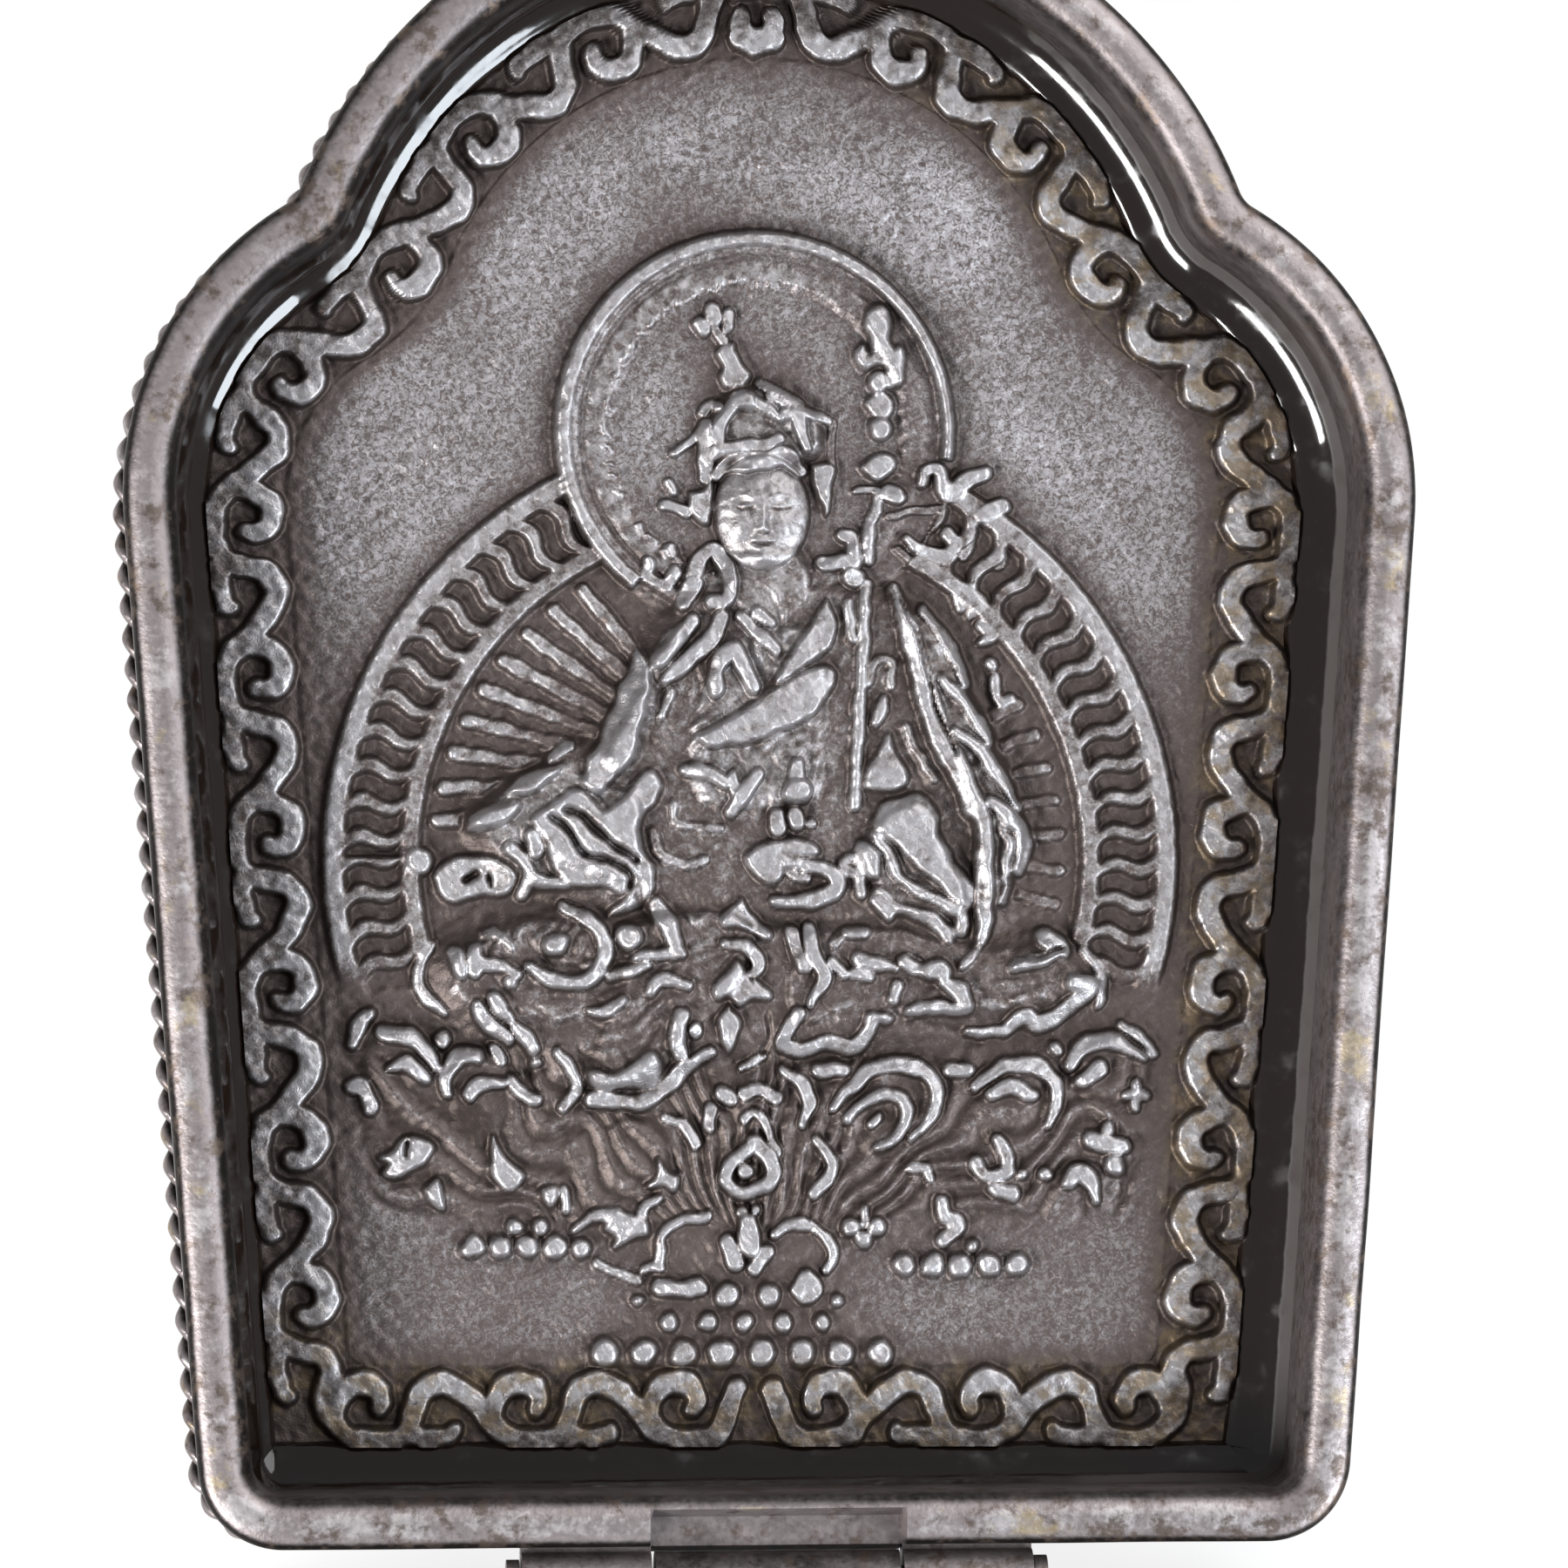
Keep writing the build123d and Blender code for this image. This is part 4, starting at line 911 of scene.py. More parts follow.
chase((0.17, 0.2, 0.12), (-2.75, 18.2), (-2.45, 17.75), (-2.2, 17.15), (-2.05, 16.9))
chase((0.14, 0.06), (-2.2, 16.9), (-2.65, 16.85), (-3.25, 16.8))
chase((0.04, 0.1, 0.04), (-4.0, 16.25), (-3.45, 16.4), (-2.95, 16.55))
chase((0.08, 0.14, 0.08), (-2.9, 15.8), (-2.7, 16.1), (-2.3, 16.15), (-1.85, 16.0))
chase((0.04, 0.14, 0.04), (-4.55, 15.3), (-4.1, 15.3), (-3.65, 15.6))
chase((0.1, 0.22, 0.1), (-7.65, 15.4), (-7.3, 14.95), (-6.75, 14.5))
chase((0.1, 0.17, 0.1), (-7.2, 15.65), (-7.0, 15.4), (-6.75, 15.1))
chase((0.1, 0.2, 0.12), (-6.6, 14.9), (-6.3, 14.6), (-6.1, 14.25))
chase(0.1, (-7.15, 14.25), (-6.9, 13.95))
chase(0.1, (-6.0, 13.9))
facet((-4.5, 13.6), (-3.75, 13.55), (-2.8, 14.2), (-2.65, 13.5), (-3.0, 13.15), (-3.45, 13.3),
      (-4.15, 13.15), (-4.45, 13.25))
chase((0.17, 0.2, 0.2, 0.18, 0.06), (-4.45, 12.9), (-3.7, 12.85), (-3.0, 12.85), (-2.3, 13.35),
      (-1.8, 13.85), (-1.2, 14.2))
chase((0.16, 0.2, 0.1), (-2.0, 15.2), (-2.2, 14.6), (-2.05, 14.1))
chase(0.17, (-1.62, 14.78))
facet((-0.45, 18.35), (-0.95, 17.75), (-0.55, 17.65), (-0.1, 17.5), (0.3, 17.3), (0.4, 17.45), (-0.1, 17.95))
chase((0.06, 0.13, 0.13, 0.06), (-0.85, 17.15), (-0.2, 17.0), (0.1, 16.65), (0.05, 16.4), (-0.2, 16.3))
facet((-0.5, 16.65), (-0.3, 16.3), (-0.1, 16.05), (0.0, 16.15), (0.4, 15.7), (-0.1, 15.7), (-0.4, 15.5),
      (-0.7, 15.7), (-1.05, 15.7), (-1.05, 16.05))
facet((-0.75, 15.4), (-0.45, 15.05), (-0.55, 14.5), (-0.75, 14.2), (-0.9, 14.65), (-1.0, 15.15))
chase((0.04, 0.09, 0.04), (-0.35, 13.75), (0.0, 13.95), (0.25, 14.1))
score(0.06, (0.35, 15.2), (0.4, 14.6), (0.2, 14.2))

# Knees and hem on the right
chase((0.12, 0.16, 0.16, 0.16, 0.13, 0.06), (1.15, 15.25), (0.85, 14.7), (0.75, 14.4), (1.2, 14.25),
      (1.8, 14.4), (2.3, 14.4), (2.7, 14.35), (3.1, 14.7), (3.25, 15.15), (3.6, 15.1))
chase(0.13, (1.0, 17.5), (1.15, 16.85), (1.35, 16.5))
chase((0.13, 0.17, 0.18, 0.08), (1.45, 17.6), (1.55, 16.85), (1.85, 16.25), (1.5, 15.5))
chase(0.13, (2.5, 17.5), (2.95, 17.45))
chase(0.06, (2.35, 17.4), (2.15, 17.15), bright=0.5)
chase((0.17, 0.15, 0.06), (2.85, 16.7), (3.35, 16.6), (3.8, 16.5))
chase((0.12, 0.08), (2.1, 16.65), (2.45, 16.3))
chase(0.1, (2.7, 16.35), (3.1, 16.25))
chase(0.14, (4.1, 16.7), (4.45, 16.45))
chase(0.24, (4.75, 16.4), (5.1, 16.4))
chase((0.15, 0.24, 0.14), (5.2, 16.1), (5.55, 15.9), (5.75, 15.5))
chase(0.15, (4.3, 15.25), (4.7, 15.45), (5.3, 15.35), (5.8, 15.45))
chase(0.1, (3.85, 16.0), (3.8, 15.65))
chase((0.06, 0.1, 0.18, 0.18, 0.2, 0.2, 0.16), (5.85, 14.75), (6.75, 14.75), (7.4, 15.15), (7.8, 14.95),
      (8.55, 15.35), (9.2, 16.0), (8.75, 16.1))
chase((0.06, 0.14, 0.22, 0.2), (7.1, 16.5), (7.6, 16.7), (8.15, 16.8), (8.35, 17.1), (7.95, 17.35))
chase((0.06, 0.12, 0.08), (9.0, 17.05), (9.4, 16.6), (9.55, 16.2), (9.5, 15.5))
for lift in (0.0, 0.45, 0.95):
    score(0.05, (6.2, 15.8 + lift), (7.0, 15.8 + lift), (7.9, 16.1 + 0.8 * lift), (8.4, 16.5 + 0.6 * lift))
score(0.05, (1.5, 14.9), (2.5, 15.3), (3.6, 15.3), (5.0, 14.9), (6.2, 14.5))

# Lotus petals and leaves of the throne, left half
chase((0.12, 0.22, 0.1), (-11.0, 14.4), (-10.8, 15.0), (-10.5, 15.2))
chase(0.19, (-11.0, 13.2), (-10.75, 13.25), (-10.5, 12.7))
chase((0.16, 0.22, 0.16, 0.06), (-10.2, 14.7), (-9.5, 14.6), (-9.0, 14.2), (-8.75, 13.75))
chase((0.06, 0.18, 0.1), (-10.0, 13.75), (-9.5, 13.85), (-9.0, 13.45))
chase(0.2, (-8.54, 14.53))
chase((0.2, 0.22, 0.16, 0.05), (-7.65, 14.1), (-8.15, 14.0), (-8.45, 13.55), (-8.45, 13.0))
chase((0.14, 0.19, 0.08), (-7.8, 13.0), (-7.45, 13.35), (-6.9, 13.3))
chase((0.08, 0.18, 0.12), (-6.7, 13.4), (-6.45, 13.1), (-6.0, 12.9))
chase((0.06, 0.13, 0.14, 0.1), (-5.4, 14.2), (-5.0, 13.6), (-4.9, 13.15), (-5.25, 12.65))
chase(0.18, (-0.9, 13.05), (-0.7, 12.95))
chase(0.12, (-1.2, 12.6), (-1.25, 12.15))
chase((0.06, 0.1, 0.06), (-2.45, 12.4), (-1.95, 12.15), (-1.6, 11.65))
facet((-10.25, 11.3), (-9.85, 11.5), (-9.5, 11.85), (-8.95, 11.7), (-8.85, 11.35), (-9.3, 11.0),
      (-9.9, 10.75), (-10.1, 10.85), (-10.0, 11.15))
score(0.05, (-9.5, 11.35), (-9.45, 11.75))
facet((-9.0, 10.4), (-8.7, 10.7), (-8.6, 10.4), (-8.5, 9.9), (-8.85, 10.1))
facet((-7.15, 11.85), (-6.95, 11.45), (-6.7, 11.15), (-6.35, 10.8), (-6.65, 10.4), (-7.1, 10.75),
      (-7.2, 11.3))
facet((-5.8, 10.45), (-5.4, 10.45), (-5.55, 9.95), (-5.75, 10.15))
chase(0.07, (-5.2, 10.45), (-5.2, 9.85))
facet((-2.65, 11.25), (-2.4, 10.85), (-2.1, 10.7), (-2.25, 10.4), (-2.5, 10.6), (-2.9, 10.55), (-2.65, 10.75))
chase((0.04, 0.1, 0.14), (-4.85, 9.35), (-4.5, 9.65), (-3.75, 9.75))
facet((-3.75, 9.9), (-3.5, 9.75), (-3.0, 9.55), (-3.0, 9.2), (-3.45, 9.1), (-3.8, 8.85), (-3.75, 9.15),
      (-4.15, 9.35))
chase(0.08, (-3.1, 9.6), (-3.0, 9.95), (-2.65, 10.15))

# Lotus petals and leaves of the throne, right half
chase((0.06, 0.14, 0.18, 0.17, 0.14, 0.1, 0.05), (2.1, 12.6), (2.6, 13.2), (3.3, 13.75), (4.0, 13.85),
      (4.6, 13.7), (4.95, 13.3), (5.0, 12.8), (4.7, 12.2), (4.3, 11.8))
chase((0.05, 0.12, 0.15, 0.13, 0.09, 0.05), (2.5, 12.3), (3.0, 12.8), (3.6, 13.05), (4.05, 12.9),
      (4.15, 12.4), (3.9, 11.9), (3.4, 11.55))
chase(0.06, (3.2, 12.2), (3.4, 12.4))
chase((0.08, 0.15, 0.16, 0.14, 0.06), (6.05, 13.2), (6.5, 13.6), (7.1, 13.85), (7.8, 13.8), (8.25, 13.4),
      (8.3, 12.9), (8.1, 12.2))
chase((0.08, 0.2, 0.14), (6.5, 13.05), (7.1, 13.25), (7.6, 13.0))
chase(0.15, (5.4, 13.7), (5.85, 13.7))
chase(0.16, (1.75, 13.7), (2.4, 13.7))
chase(0.15, (8.3, 14.3))
chase((0.12, 0.2, 0.17, 0.07), (8.65, 13.85), (9.0, 14.3), (9.5, 14.55), (10.1, 14.4), (10.7, 14.05))
chase(0.18, (9.0, 13.4), (9.5, 13.75))
chase(0.09, (10.1, 14.9), (10.7, 14.6), (11.0, 14.1))
chase(0.1, (10.2, 13.0), (10.8, 13.0))
chase(0.1, (10.5, 12.7), (10.5, 13.3))
chase(0.13, (-0.3, 13.05), (0.1, 13.15), (0.6, 12.95))
chase((0.06, 0.13, 0.12, 0.06), (0.8, 13.7), (1.3, 13.3), (1.5, 12.8), (1.3, 12.2))
chase((0.08, 0.14, 0.1), (1.7, 11.8), (2.0, 11.4), (2.1, 10.9), (1.6, 10.3))
chase(0.18, (9.7, 12.1))
chase(0.22, (9.3, 11.8), (9.6, 11.7), (10.1, 11.6))
chase(0.25, (9.9, 11.1))
chase((0.14, 0.22, 0.2, 0.08), (8.6, 10.6), (8.9, 10.9), (9.3, 10.6), (9.4, 10.1))
chase(0.14, (8.0, 10.85))
chase(0.1, (7.35, 10.85))
chase(0.12, (6.7, 11.8), (6.9, 11.4), (6.95, 10.9))
chase(0.15, (6.1, 11.1), (6.4, 10.8), (6.9, 10.9))
chase(0.18, (6.6, 10.4), (7.1, 10.3))
chase(0.15, (5.15, 10.1), (5.2, 9.7), (5.6, 9.5), (5.2, 9.0))
chase(0.22, (2.65, 9.4))
chase(0.22, (3.35, 9.4))
chase(0.2, (3.0, 9.05))
chase(0.07, (3.0, 9.9), (3.0, 9.5))
chase(0.08, (4.3, 11.05), (4.7, 11.0), (4.85, 10.7))

# Jewel, flower and pedestal in the middle of the throne
chase((0.2, 0.16, 0.13), (0.0, 11.7), (0.45, 11.2), (0.45, 10.7), (0.0, 10.4), (-0.5, 10.4), (-0.8, 10.7),
      (-0.6, 11.2), (0.0, 11.65))
chase(0.15, (-0.25, 10.95))
chase(0.07, (-0.3, 12.3), (0.0, 12.5), (0.35, 12.1), (0.6, 11.4))
chase((0.2, 0.3, 0.3), (-0.2, 9.55), (-0.15, 9.2), (-0.15, 8.9))
chase(0.18, (-0.75, 9.0), (-0.5, 8.4))
chase(0.18, (0.3, 8.7), (0.0, 8.3))
chase(0.1, (-0.35, 9.85))
chase(0.1, (0.05, 9.85))
chase(0.09, (-1.3, 9.65), (-2.0, 9.6), (-2.5, 9.2), (-2.6, 8.7), (-2.6, 8.3))
chase(0.08, (0.55, 9.2), (1.0, 9.5), (1.7, 9.35), (2.1, 8.9), (2.15, 8.5), (2.0, 8.25))
chase(0.08, (-4.3, 8.4), (-3.8, 8.15), (-3.2, 7.95))
chase(0.06, (-3.0, 8.2), (-2.6, 8.35))
chase(0.2, (-2.6, 7.75), (-2.0, 7.7), (-1.5, 7.75))
chase(0.17, (1.2, 7.7), (1.4, 8.05), (1.65, 7.7), (1.4, 7.5), (1.2, 7.7))

# Rows of offering beads: place of the first bead, pitch, count and size
for first_x, row_y, pitch, count, size in (
    (-7.7, 8.86, 0.75, 4, 0.31),
    (-4.75, 8.82, 1.0, 1, 0.25),
    (-6.55, 9.4, 0.7, 2, 0.17),
    (4.12, 8.36, 0.78, 5, 0.3),
    (6.0, 8.87, 1.0, 1, 0.13),
    (-0.75, 7.53, 1.15, 2, 0.28),
    (-2.35, 6.8, 1.05, 5, 0.22),
    (-4.1, 5.97, 1.08, 8, 0.37),
    (-3.15, 7.4, 5.45, 2, 0.09),
):
    for bead in range(count):
        chase(size + 0.03, (first_x + bead * pitch, row_y), rise=0.34, flat=0.55)

# Scroll border, one wave of it as places along the edge, depth in from the edge and half width.
# The wave is drawn at one length, laid at its pitch from the middle of the base to the crown, and mirrored.
SCROLL_PITCH = 4.287
SCROLL_FIRST = 2.61
SCROLL_WAVES = 14
SCROLL_DRAWN = 4.4
SCROLL_MIDDLE = 0.95
SCROLL_RISE = 0.42
SCROLL_MORE = 0.06
SCROLL_BASE_GAP = 0.48
SCROLL_RIGHT_MORE = 0.01
STEM = np.array([
    (-0.5, 1.02, 0.29), (-0.31, 0.73, 0.3), (0.01, 0.38, 0.27), (0.51, 0.23, 0.25), (1.09, 0.21, 0.25),
    (1.52, 0.28, 0.26), (1.77, 0.52, 0.27), (1.96, 1.05, 0.27), (2.17, 1.54, 0.29), (2.67, 1.76, 0.31),
    (3.21, 1.56, 0.3), (3.65, 1.2, 0.29), (3.9, 0.95, 0.29), (4.09, 0.73, 0.3), (4.4, 0.38, 0.27),
])
CURL = np.array([
    (-0.31, 0.73, 0.28), (-0.2, 1.25, 0.26), (0.1, 1.68, 0.3), (0.55, 1.77, 0.33), (0.91, 1.6, 0.28),
    (1.04, 1.28, 0.23), (0.96, 1.04, 0.19),
])
HOOK = np.array([
    (1.6, 0.33, 0.25), (2.2, 0.26, 0.25), (2.67, 0.29, 0.24), (3.0, 0.36, 0.21), (3.05, 0.5, 0.14),
])
scroll_line = outline(PLATE_INSET + SCROLL_MIDDLE, 6000, corner=1.0, half=True)
scroll_run = np.concatenate([[0], np.cumsum(np.hypot(*np.diff(scroll_line, axis=0).T))])


def scroll_place(run, depth):
    """Point at a run along the border's middle line from the base, and a depth in from the plate's edge."""
    held = np.clip(run, 0.1, scroll_run[-1] - 0.1)
    at, ahead, behind = (
        np.stack([np.interp(place, scroll_run, line) for line in scroll_line.T], 1)
        for place in (run, held + 0.1, held - 0.1)
    )
    along = (ahead - behind) / np.hypot(*(ahead - behind).T)[:, None]
    past = np.minimum(run, 0)[:, None] * [1, 0] + np.maximum(run - scroll_run[-1], 0)[:, None] * [-1, 0]
    return at + past + (depth - SCROLL_MIDDLE)[:, None] * np.stack([-along[:, 1], along[:, 0]], 1)


for wave in range(SCROLL_WAVES):
    for stroke in (STEM, CURL, HOOK):
        run = SCROLL_FIRST + wave * SCROLL_PITCH - stroke[:, 0] * SCROLL_PITCH / SCROLL_DRAWN
        kept = (run > SCROLL_BASE_GAP) & (run < scroll_run[-1] + 0.6)
        if kept.sum() < 2:
            continue
        line = scroll_place(run[kept], stroke[kept, 1])
        for hand in (-1, 1):
            broad = stroke[kept, 2] + SCROLL_MORE + (SCROLL_RIGHT_MORE if hand > 0 else 0)
            glow = 0.64 + 0.36 * smooth(0.9, 1.6, stroke[kept, 1])
            chase(broad, *(line * [hand, 1]), rise=SCROLL_RISE, flat=0.78, foot=0.03, bright=glow)

# Head and face: a rounded oval with brows, lidded eyes, nose, lips, chin and cheeks on even thirds
FACE_RX, FACE_RY = 1.34, 1.62
face_r = np.hypot((X - HEAD[0]) / FACE_RX, (Y - HEAD[1]) / FACE_RY)
face = 0.62 * np.sqrt(np.clip(1 - face_r**2, 0, 1)) + 0.1 * (1 - smooth(0.95, 1.05, face_r))
bare_mass = mass * np.clip(face_r, 0, 1)
mass = np.where(face_r < 1.05, np.maximum(bare_mass, mass * 0.6 + face), mass)
THIRD = 0.96
CHIN_Y = HEAD[1] - 1.5
NOSE_Y = CHIN_Y + THIRD
BROW_Y = NOSE_Y + THIRD


def bump(x, y, rx, ry, height):
    """A small round rise or dip on the face, as high as a bell curve of two radii."""
    far = ((X - HEAD[0] - x) / rx) ** 2 + ((Y - y) / ry) ** 2
    mass[:] += height * np.exp(-1.6 * far)


bump(0.0, NOSE_Y + 0.1, 0.17, 0.17, 0.16)
bump(0.0, NOSE_Y + 0.42, 0.13, 0.42, 0.1)
bump(0.0, CHIN_Y + 0.73, 0.36, 0.075, 0.07)
bump(0.0, CHIN_Y + 0.55, 0.26, 0.08, 0.075)
bump(0.0, CHIN_Y + 0.64, 0.34, 0.03, -0.07)
bump(0.0, CHIN_Y + 0.24, 0.32, 0.18, 0.09)
for cheek in (-1, 1):
    bump(cheek * 0.15, NOSE_Y + 0.06, 0.09, 0.09, 0.06)
    bump(cheek * 0.62, NOSE_Y + 0.12, 0.34, 0.3, 0.06)
    bump(cheek * 0.48, BROW_Y - 0.24, 0.34, 0.17, -0.1)
    bump(cheek * 0.48, BROW_Y - 0.24, 0.24, 0.1, 0.12)
    bump(cheek * 0.26, BROW_Y - 0.01, 0.16, 0.07, 0.05)
    bump(cheek * 0.5, BROW_Y + 0.06, 0.2, 0.06, 0.06)
    bump(cheek * 0.78, BROW_Y - 0.02, 0.16, 0.06, 0.05)
beside = np.abs(X - HEAD[0])
lid = (beside - 0.48) / 0.3
lid_line = np.exp(-(lid**6) - ((Y - BROW_Y + 0.27 + 0.07 * (1 - lid**2)) / 0.035) ** 2)
lip_line = np.exp(-((beside / 0.3) ** 6) - ((Y - CHIN_Y - 0.63 - 0.05 * (beside / 0.3) ** 2) / 0.032) ** 2)
nostril = 0.7 * np.exp(-(((beside - 0.12) / 0.07) ** 2) - ((Y - NOSE_Y + 0.04) / 0.05) ** 2)
face_lines = np.maximum(np.maximum(lid_line, lip_line), nostril)
mass -= 0.05 * face_lines
on_face = 1 - smooth(0.86, 1.0, face_r)
over_brow = smooth(BROW_Y + 0.3, BROW_Y + 0.5, Y)
ridge = np.where(face_r < 0.86, np.minimum(ridge, 0.5) * over_brow, ridge)
shine = np.maximum(shine * (1 - on_face * (1 - over_brow)), on_face * 0.62)

# A fine step line runs inside the scroll border, the petals are veined, and worn metal is never even;
# shade is painted round the relief and sheen on the robes
STEP_INSET = 2.2
VEINS = 58
step_line = outline(PLATE_INSET + STEP_INSET, 4000, corner=0.6, half=True)
from_side = np.interp(rows, step_line[:, 1], step_line[:, 0], right=-1.0)[:, None] - np.abs(X)
from_base = Y - step_line[0, 1]
inside_step = smooth(-0.05, 0.05, from_side) * smooth(-0.05, 0.05, from_base)
throne = plateau(9.2, 10.2, 13.6, 14.6, Y) * (1 - smooth(10.2, 10.9, np.abs(X)))
veins = np.sin(VEINS * np.arctan2(X, Y - 7.5) + 2.4 * drift(2.4, 38)) * throne
bare = np.clip(1 - 4 * ridge, 0, 1)
cloth = np.zeros_like(X)
for x, y, reach, pitch in (
    (-5.5, 17.1, 2.6, 0.5), (-3.6, 17.4, 3.4, 0.55), (5.0, 21.5, 6.4, 0.6), (0.4, 24.6, 4.2, 0.62),
    (0.3, 30.0, 9.0, 0.7), (-2.8, 24.5, 5.0, 0.6), (7.0, 13.4, 3.0, 0.5),
):
    far = np.hypot(X - x, Y - y)
    near = np.exp(-((far / reach) ** 4))
    cloth = cloth * (1 - 0.8 * near) + near * np.sin(2 * math.pi * (far + 0.3 * drift(1.9, 39)) / pitch)
folds = cloth * smooth(0.25, 0.5, mass) * np.where(face_r < 1.1, 0, 1)
relief = softened(mass, 1.0) + softened(ridge, 0.6)
relief += 0.04 * inside_step + bare * (0.06 * veins + 0.035 * folds)
relief += 0.008 * (drift(0.5, 40) + drift(0.3, 41))
stand = relief - softened(relief, 5.0)
cavity = np.clip(-stand / 0.2, 0, 1)
raised = np.maximum(ridge, 1.2 * (mass - 0.1 * in_halo))
# The mark "shadow" is painted shade: dark round the raised relief and from 1.4 mm inside the step line
# outwards, darker towards the base and the sides, and lighter inside the halo.
shadow = np.clip(softened(raised, 20.0) / 0.16, 0, 1)
shadow = np.maximum(shadow, 1 - smooth(0.0, 1.4, from_side) * smooth(0.0, 1.4, from_base))
shadow = np.maximum(shadow, 0.5 * (1 - smooth(7.0, 20.0, Y)))
shadow = np.maximum(shadow, 0.24 * smooth(3.0, 9.0, np.abs(X - 1.5)))
shadow *= 1 - 0.3 * in_halo
crest = np.clip((relief - softened(relief, 9.0)) / 0.2, 0, 1)
round_top = np.clip(stand / 0.14, 0, 1)
# Painted sheen: the robes' masses are painted paler, more over the chest than over the lap and less to the
# right, and their rounded tops get painted highlights, weaker over the throne.
body = 0.19 + 0.25 * smooth(17.5, 19.5, Y) * (1 - 0.5 * smooth(2.5, 4.5, X))
trim = 0.22 + 0.21 * smooth(13.0, 15.5, Y)
robe_sheen = body * smooth(0.24, 0.5, mass) + trim * round_top * smooth(0.1, 0.3, mass)
# The mark "polish_and_sheen": the rubbed crests of the strokes with the painted sheen and highlights.
polish_and_sheen = np.maximum(shine * (0.6 + 0.4 * crest), robe_sheen)
polish_and_sheen = np.maximum(polish_and_sheen, 0.22 * bare * smooth(0.3, 0.95, veins))
cavity = np.maximum(cavity, bare * smooth(0.0, 0.8, -veins))
polish_and_sheen = polish_and_sheen * np.where(face_r < 1.0, 1.0 - 0.8 * face_lines, worn)
cavity = np.maximum(cavity, 0.8 * face_lines)
to_edge = 2.0 - np.minimum(from_side, from_base)
cavity = np.maximum(cavity, 0.55 * smooth(1.9, 2.4, to_edge))
stain = smooth(1.6, 2.4, to_edge) * np.maximum(smooth(2.0, 9.0, X), 1 - smooth(4.5, 9.0, Y))

# The plate is cut in bands from base to crown, each a closed block under its part of the relief
BANDS = 4
PLATE_FOOT = BACK_PLATE
place = np.concatenate([settled(np.stack([X, Y], 2)), (FIELD_Z + relief)[:, :, None]], 2)
down_rows = np.gradient(place, axis=0)
along_columns = np.gradient(place, axis=1)
facing = np.cross(along_columns, down_rows)
facing /= np.linalg.norm(facing, axis=2, keepdims=True)


def plate_band(name, first, last):
    """Rows of the relief with a skirt and an underside; normals on the relief come from its slope."""
    part = slice(first, last + 1)
    top = place[part].reshape(-1, 3)
    count_rows, count_columns = last + 1 - first, X.shape[1]
    index = np.arange(len(top)).reshape(count_rows, count_columns)
    ring = np.concatenate([index[0, :-1], index[:-1, -1], index[-1, :0:-1], index[:0:-1, 0]])
    foot = top[ring] * [1, 1, 0] + [0, 0, PLATE_FOOT]
    low = len(top) + np.arange(len(ring))
    skirt = np.stack([ring, low, np.roll(low, -1), np.roll(ring, -1)], 1)
    surface = woven(count_rows, count_columns)
    quads = np.concatenate([surface, skirt])
    edges = np.roll(foot, -1, 0) - foot
    side = np.stack([edges[:, 1], -edges[:, 0], 0 * edges[:, 0]], 1)
    side /= np.maximum(np.linalg.norm(side, axis=1, keepdims=True), 1e-9)
    normals = np.concatenate([
        facing[part].reshape(-1, 3)[surface.ravel()],
        np.repeat(side, 4, 0),
        np.repeat([[0.0, 0.0, -1.0]], len(ring), 0),
    ])
    bare_foot = np.zeros(len(ring))
    marks = {"polish_and_sheen": polish_and_sheen, "cavity": cavity, "shadow": shadow, "stain": stain}
    marks = {mark: np.concatenate([values[part].ravel(), bare_foot]) for mark, values in marks.items()}
    return lay_mesh(name, np.concatenate([top, foot]), quads, [low[::-1]], normals, **marks)


FIELD_BROWN = (0.115, 0.094, 0.09, 1)
FIELD_GREY = (0.46, 0.446, 0.462, 1)
SHADOW_BROWN = (0.088, 0.069, 0.062, 1)
RECESS_BLACK = (0.042, 0.032, 0.028, 1)
CREST_SILVER = (0.39, 0.376, 0.384, 1)
CREST_DULL = (0.265, 0.246, 0.246, 1)
STRAW_BROWN = (0.24, 0.175, 0.1, 1)
relief_silver, shade = new_finish("relief_silver")
rubbed_and_sheen = shade.mark("polish_and_sheen")
hollow = shade.mark("cavity")
shadowed = shade.mark("shadow")
speck = shade.grain(0.14, 2.0, 0.6, 1.0)
patch = shade.grain(4.5, 3.0)
pits = shade.grain(0.3, 3.0)
# Where the mark "shadow" is high, the field is painted shade: less grey speckle and more shadow brown.
open_field = (1 - shadowed) * (0.45 + 0.55 * patch.between(0.3, 0.6))
worms = shade.grain(0.3, 2.0, 0.55, 1.4) - 0.5
etched = worms.maths("ABSOLUTE", worms, 0).between(0.0, 0.08)
grey = (speck * 0.7 + etched * 0.14 + (open_field - 0.6) * 0.16).between(0.3, 0.62)
colour = (grey * (0.2 + 0.8 * open_field)).blend(FIELD_BROWN, FIELD_GREY)
colour = (shadowed * 0.75).blend(colour, SHADOW_BROWN)
# Rubbed crests and painted sheen turn the colour towards crest silver.
rubbed = rubbed_and_sheen + (pits - 0.5) * 0.46 + (speck - 0.52) * 0.6
tone = rubbed.between(0.25, 0.85).blend(CREST_DULL, CREST_SILVER)
colour = rubbed.between(0.1, 0.5).blend(colour, tone)
rust = shade.mark("stain") * (shade.grain(0.8, 4.0, 0.65) + pits * 0.3).between(0.58, 0.78)
colour = (rust * 0.75).blend(colour, STRAW_BROWN)
colour = (hollow * 0.85 * (1 - rubbed.between(0.3, 0.8))).blend(colour, RECESS_BLACK)
grit = (speck * 0.6 + pits * 0.4).dents(0.75, 0.04)
seal(shade, Base_Color=colour, Metallic=0.88, Roughness=0.52 - rubbed_and_sheen * 0.1, Normal=grit)
cuts = np.linspace(0, len(rows) - 1, BANDS + 1).astype(int)
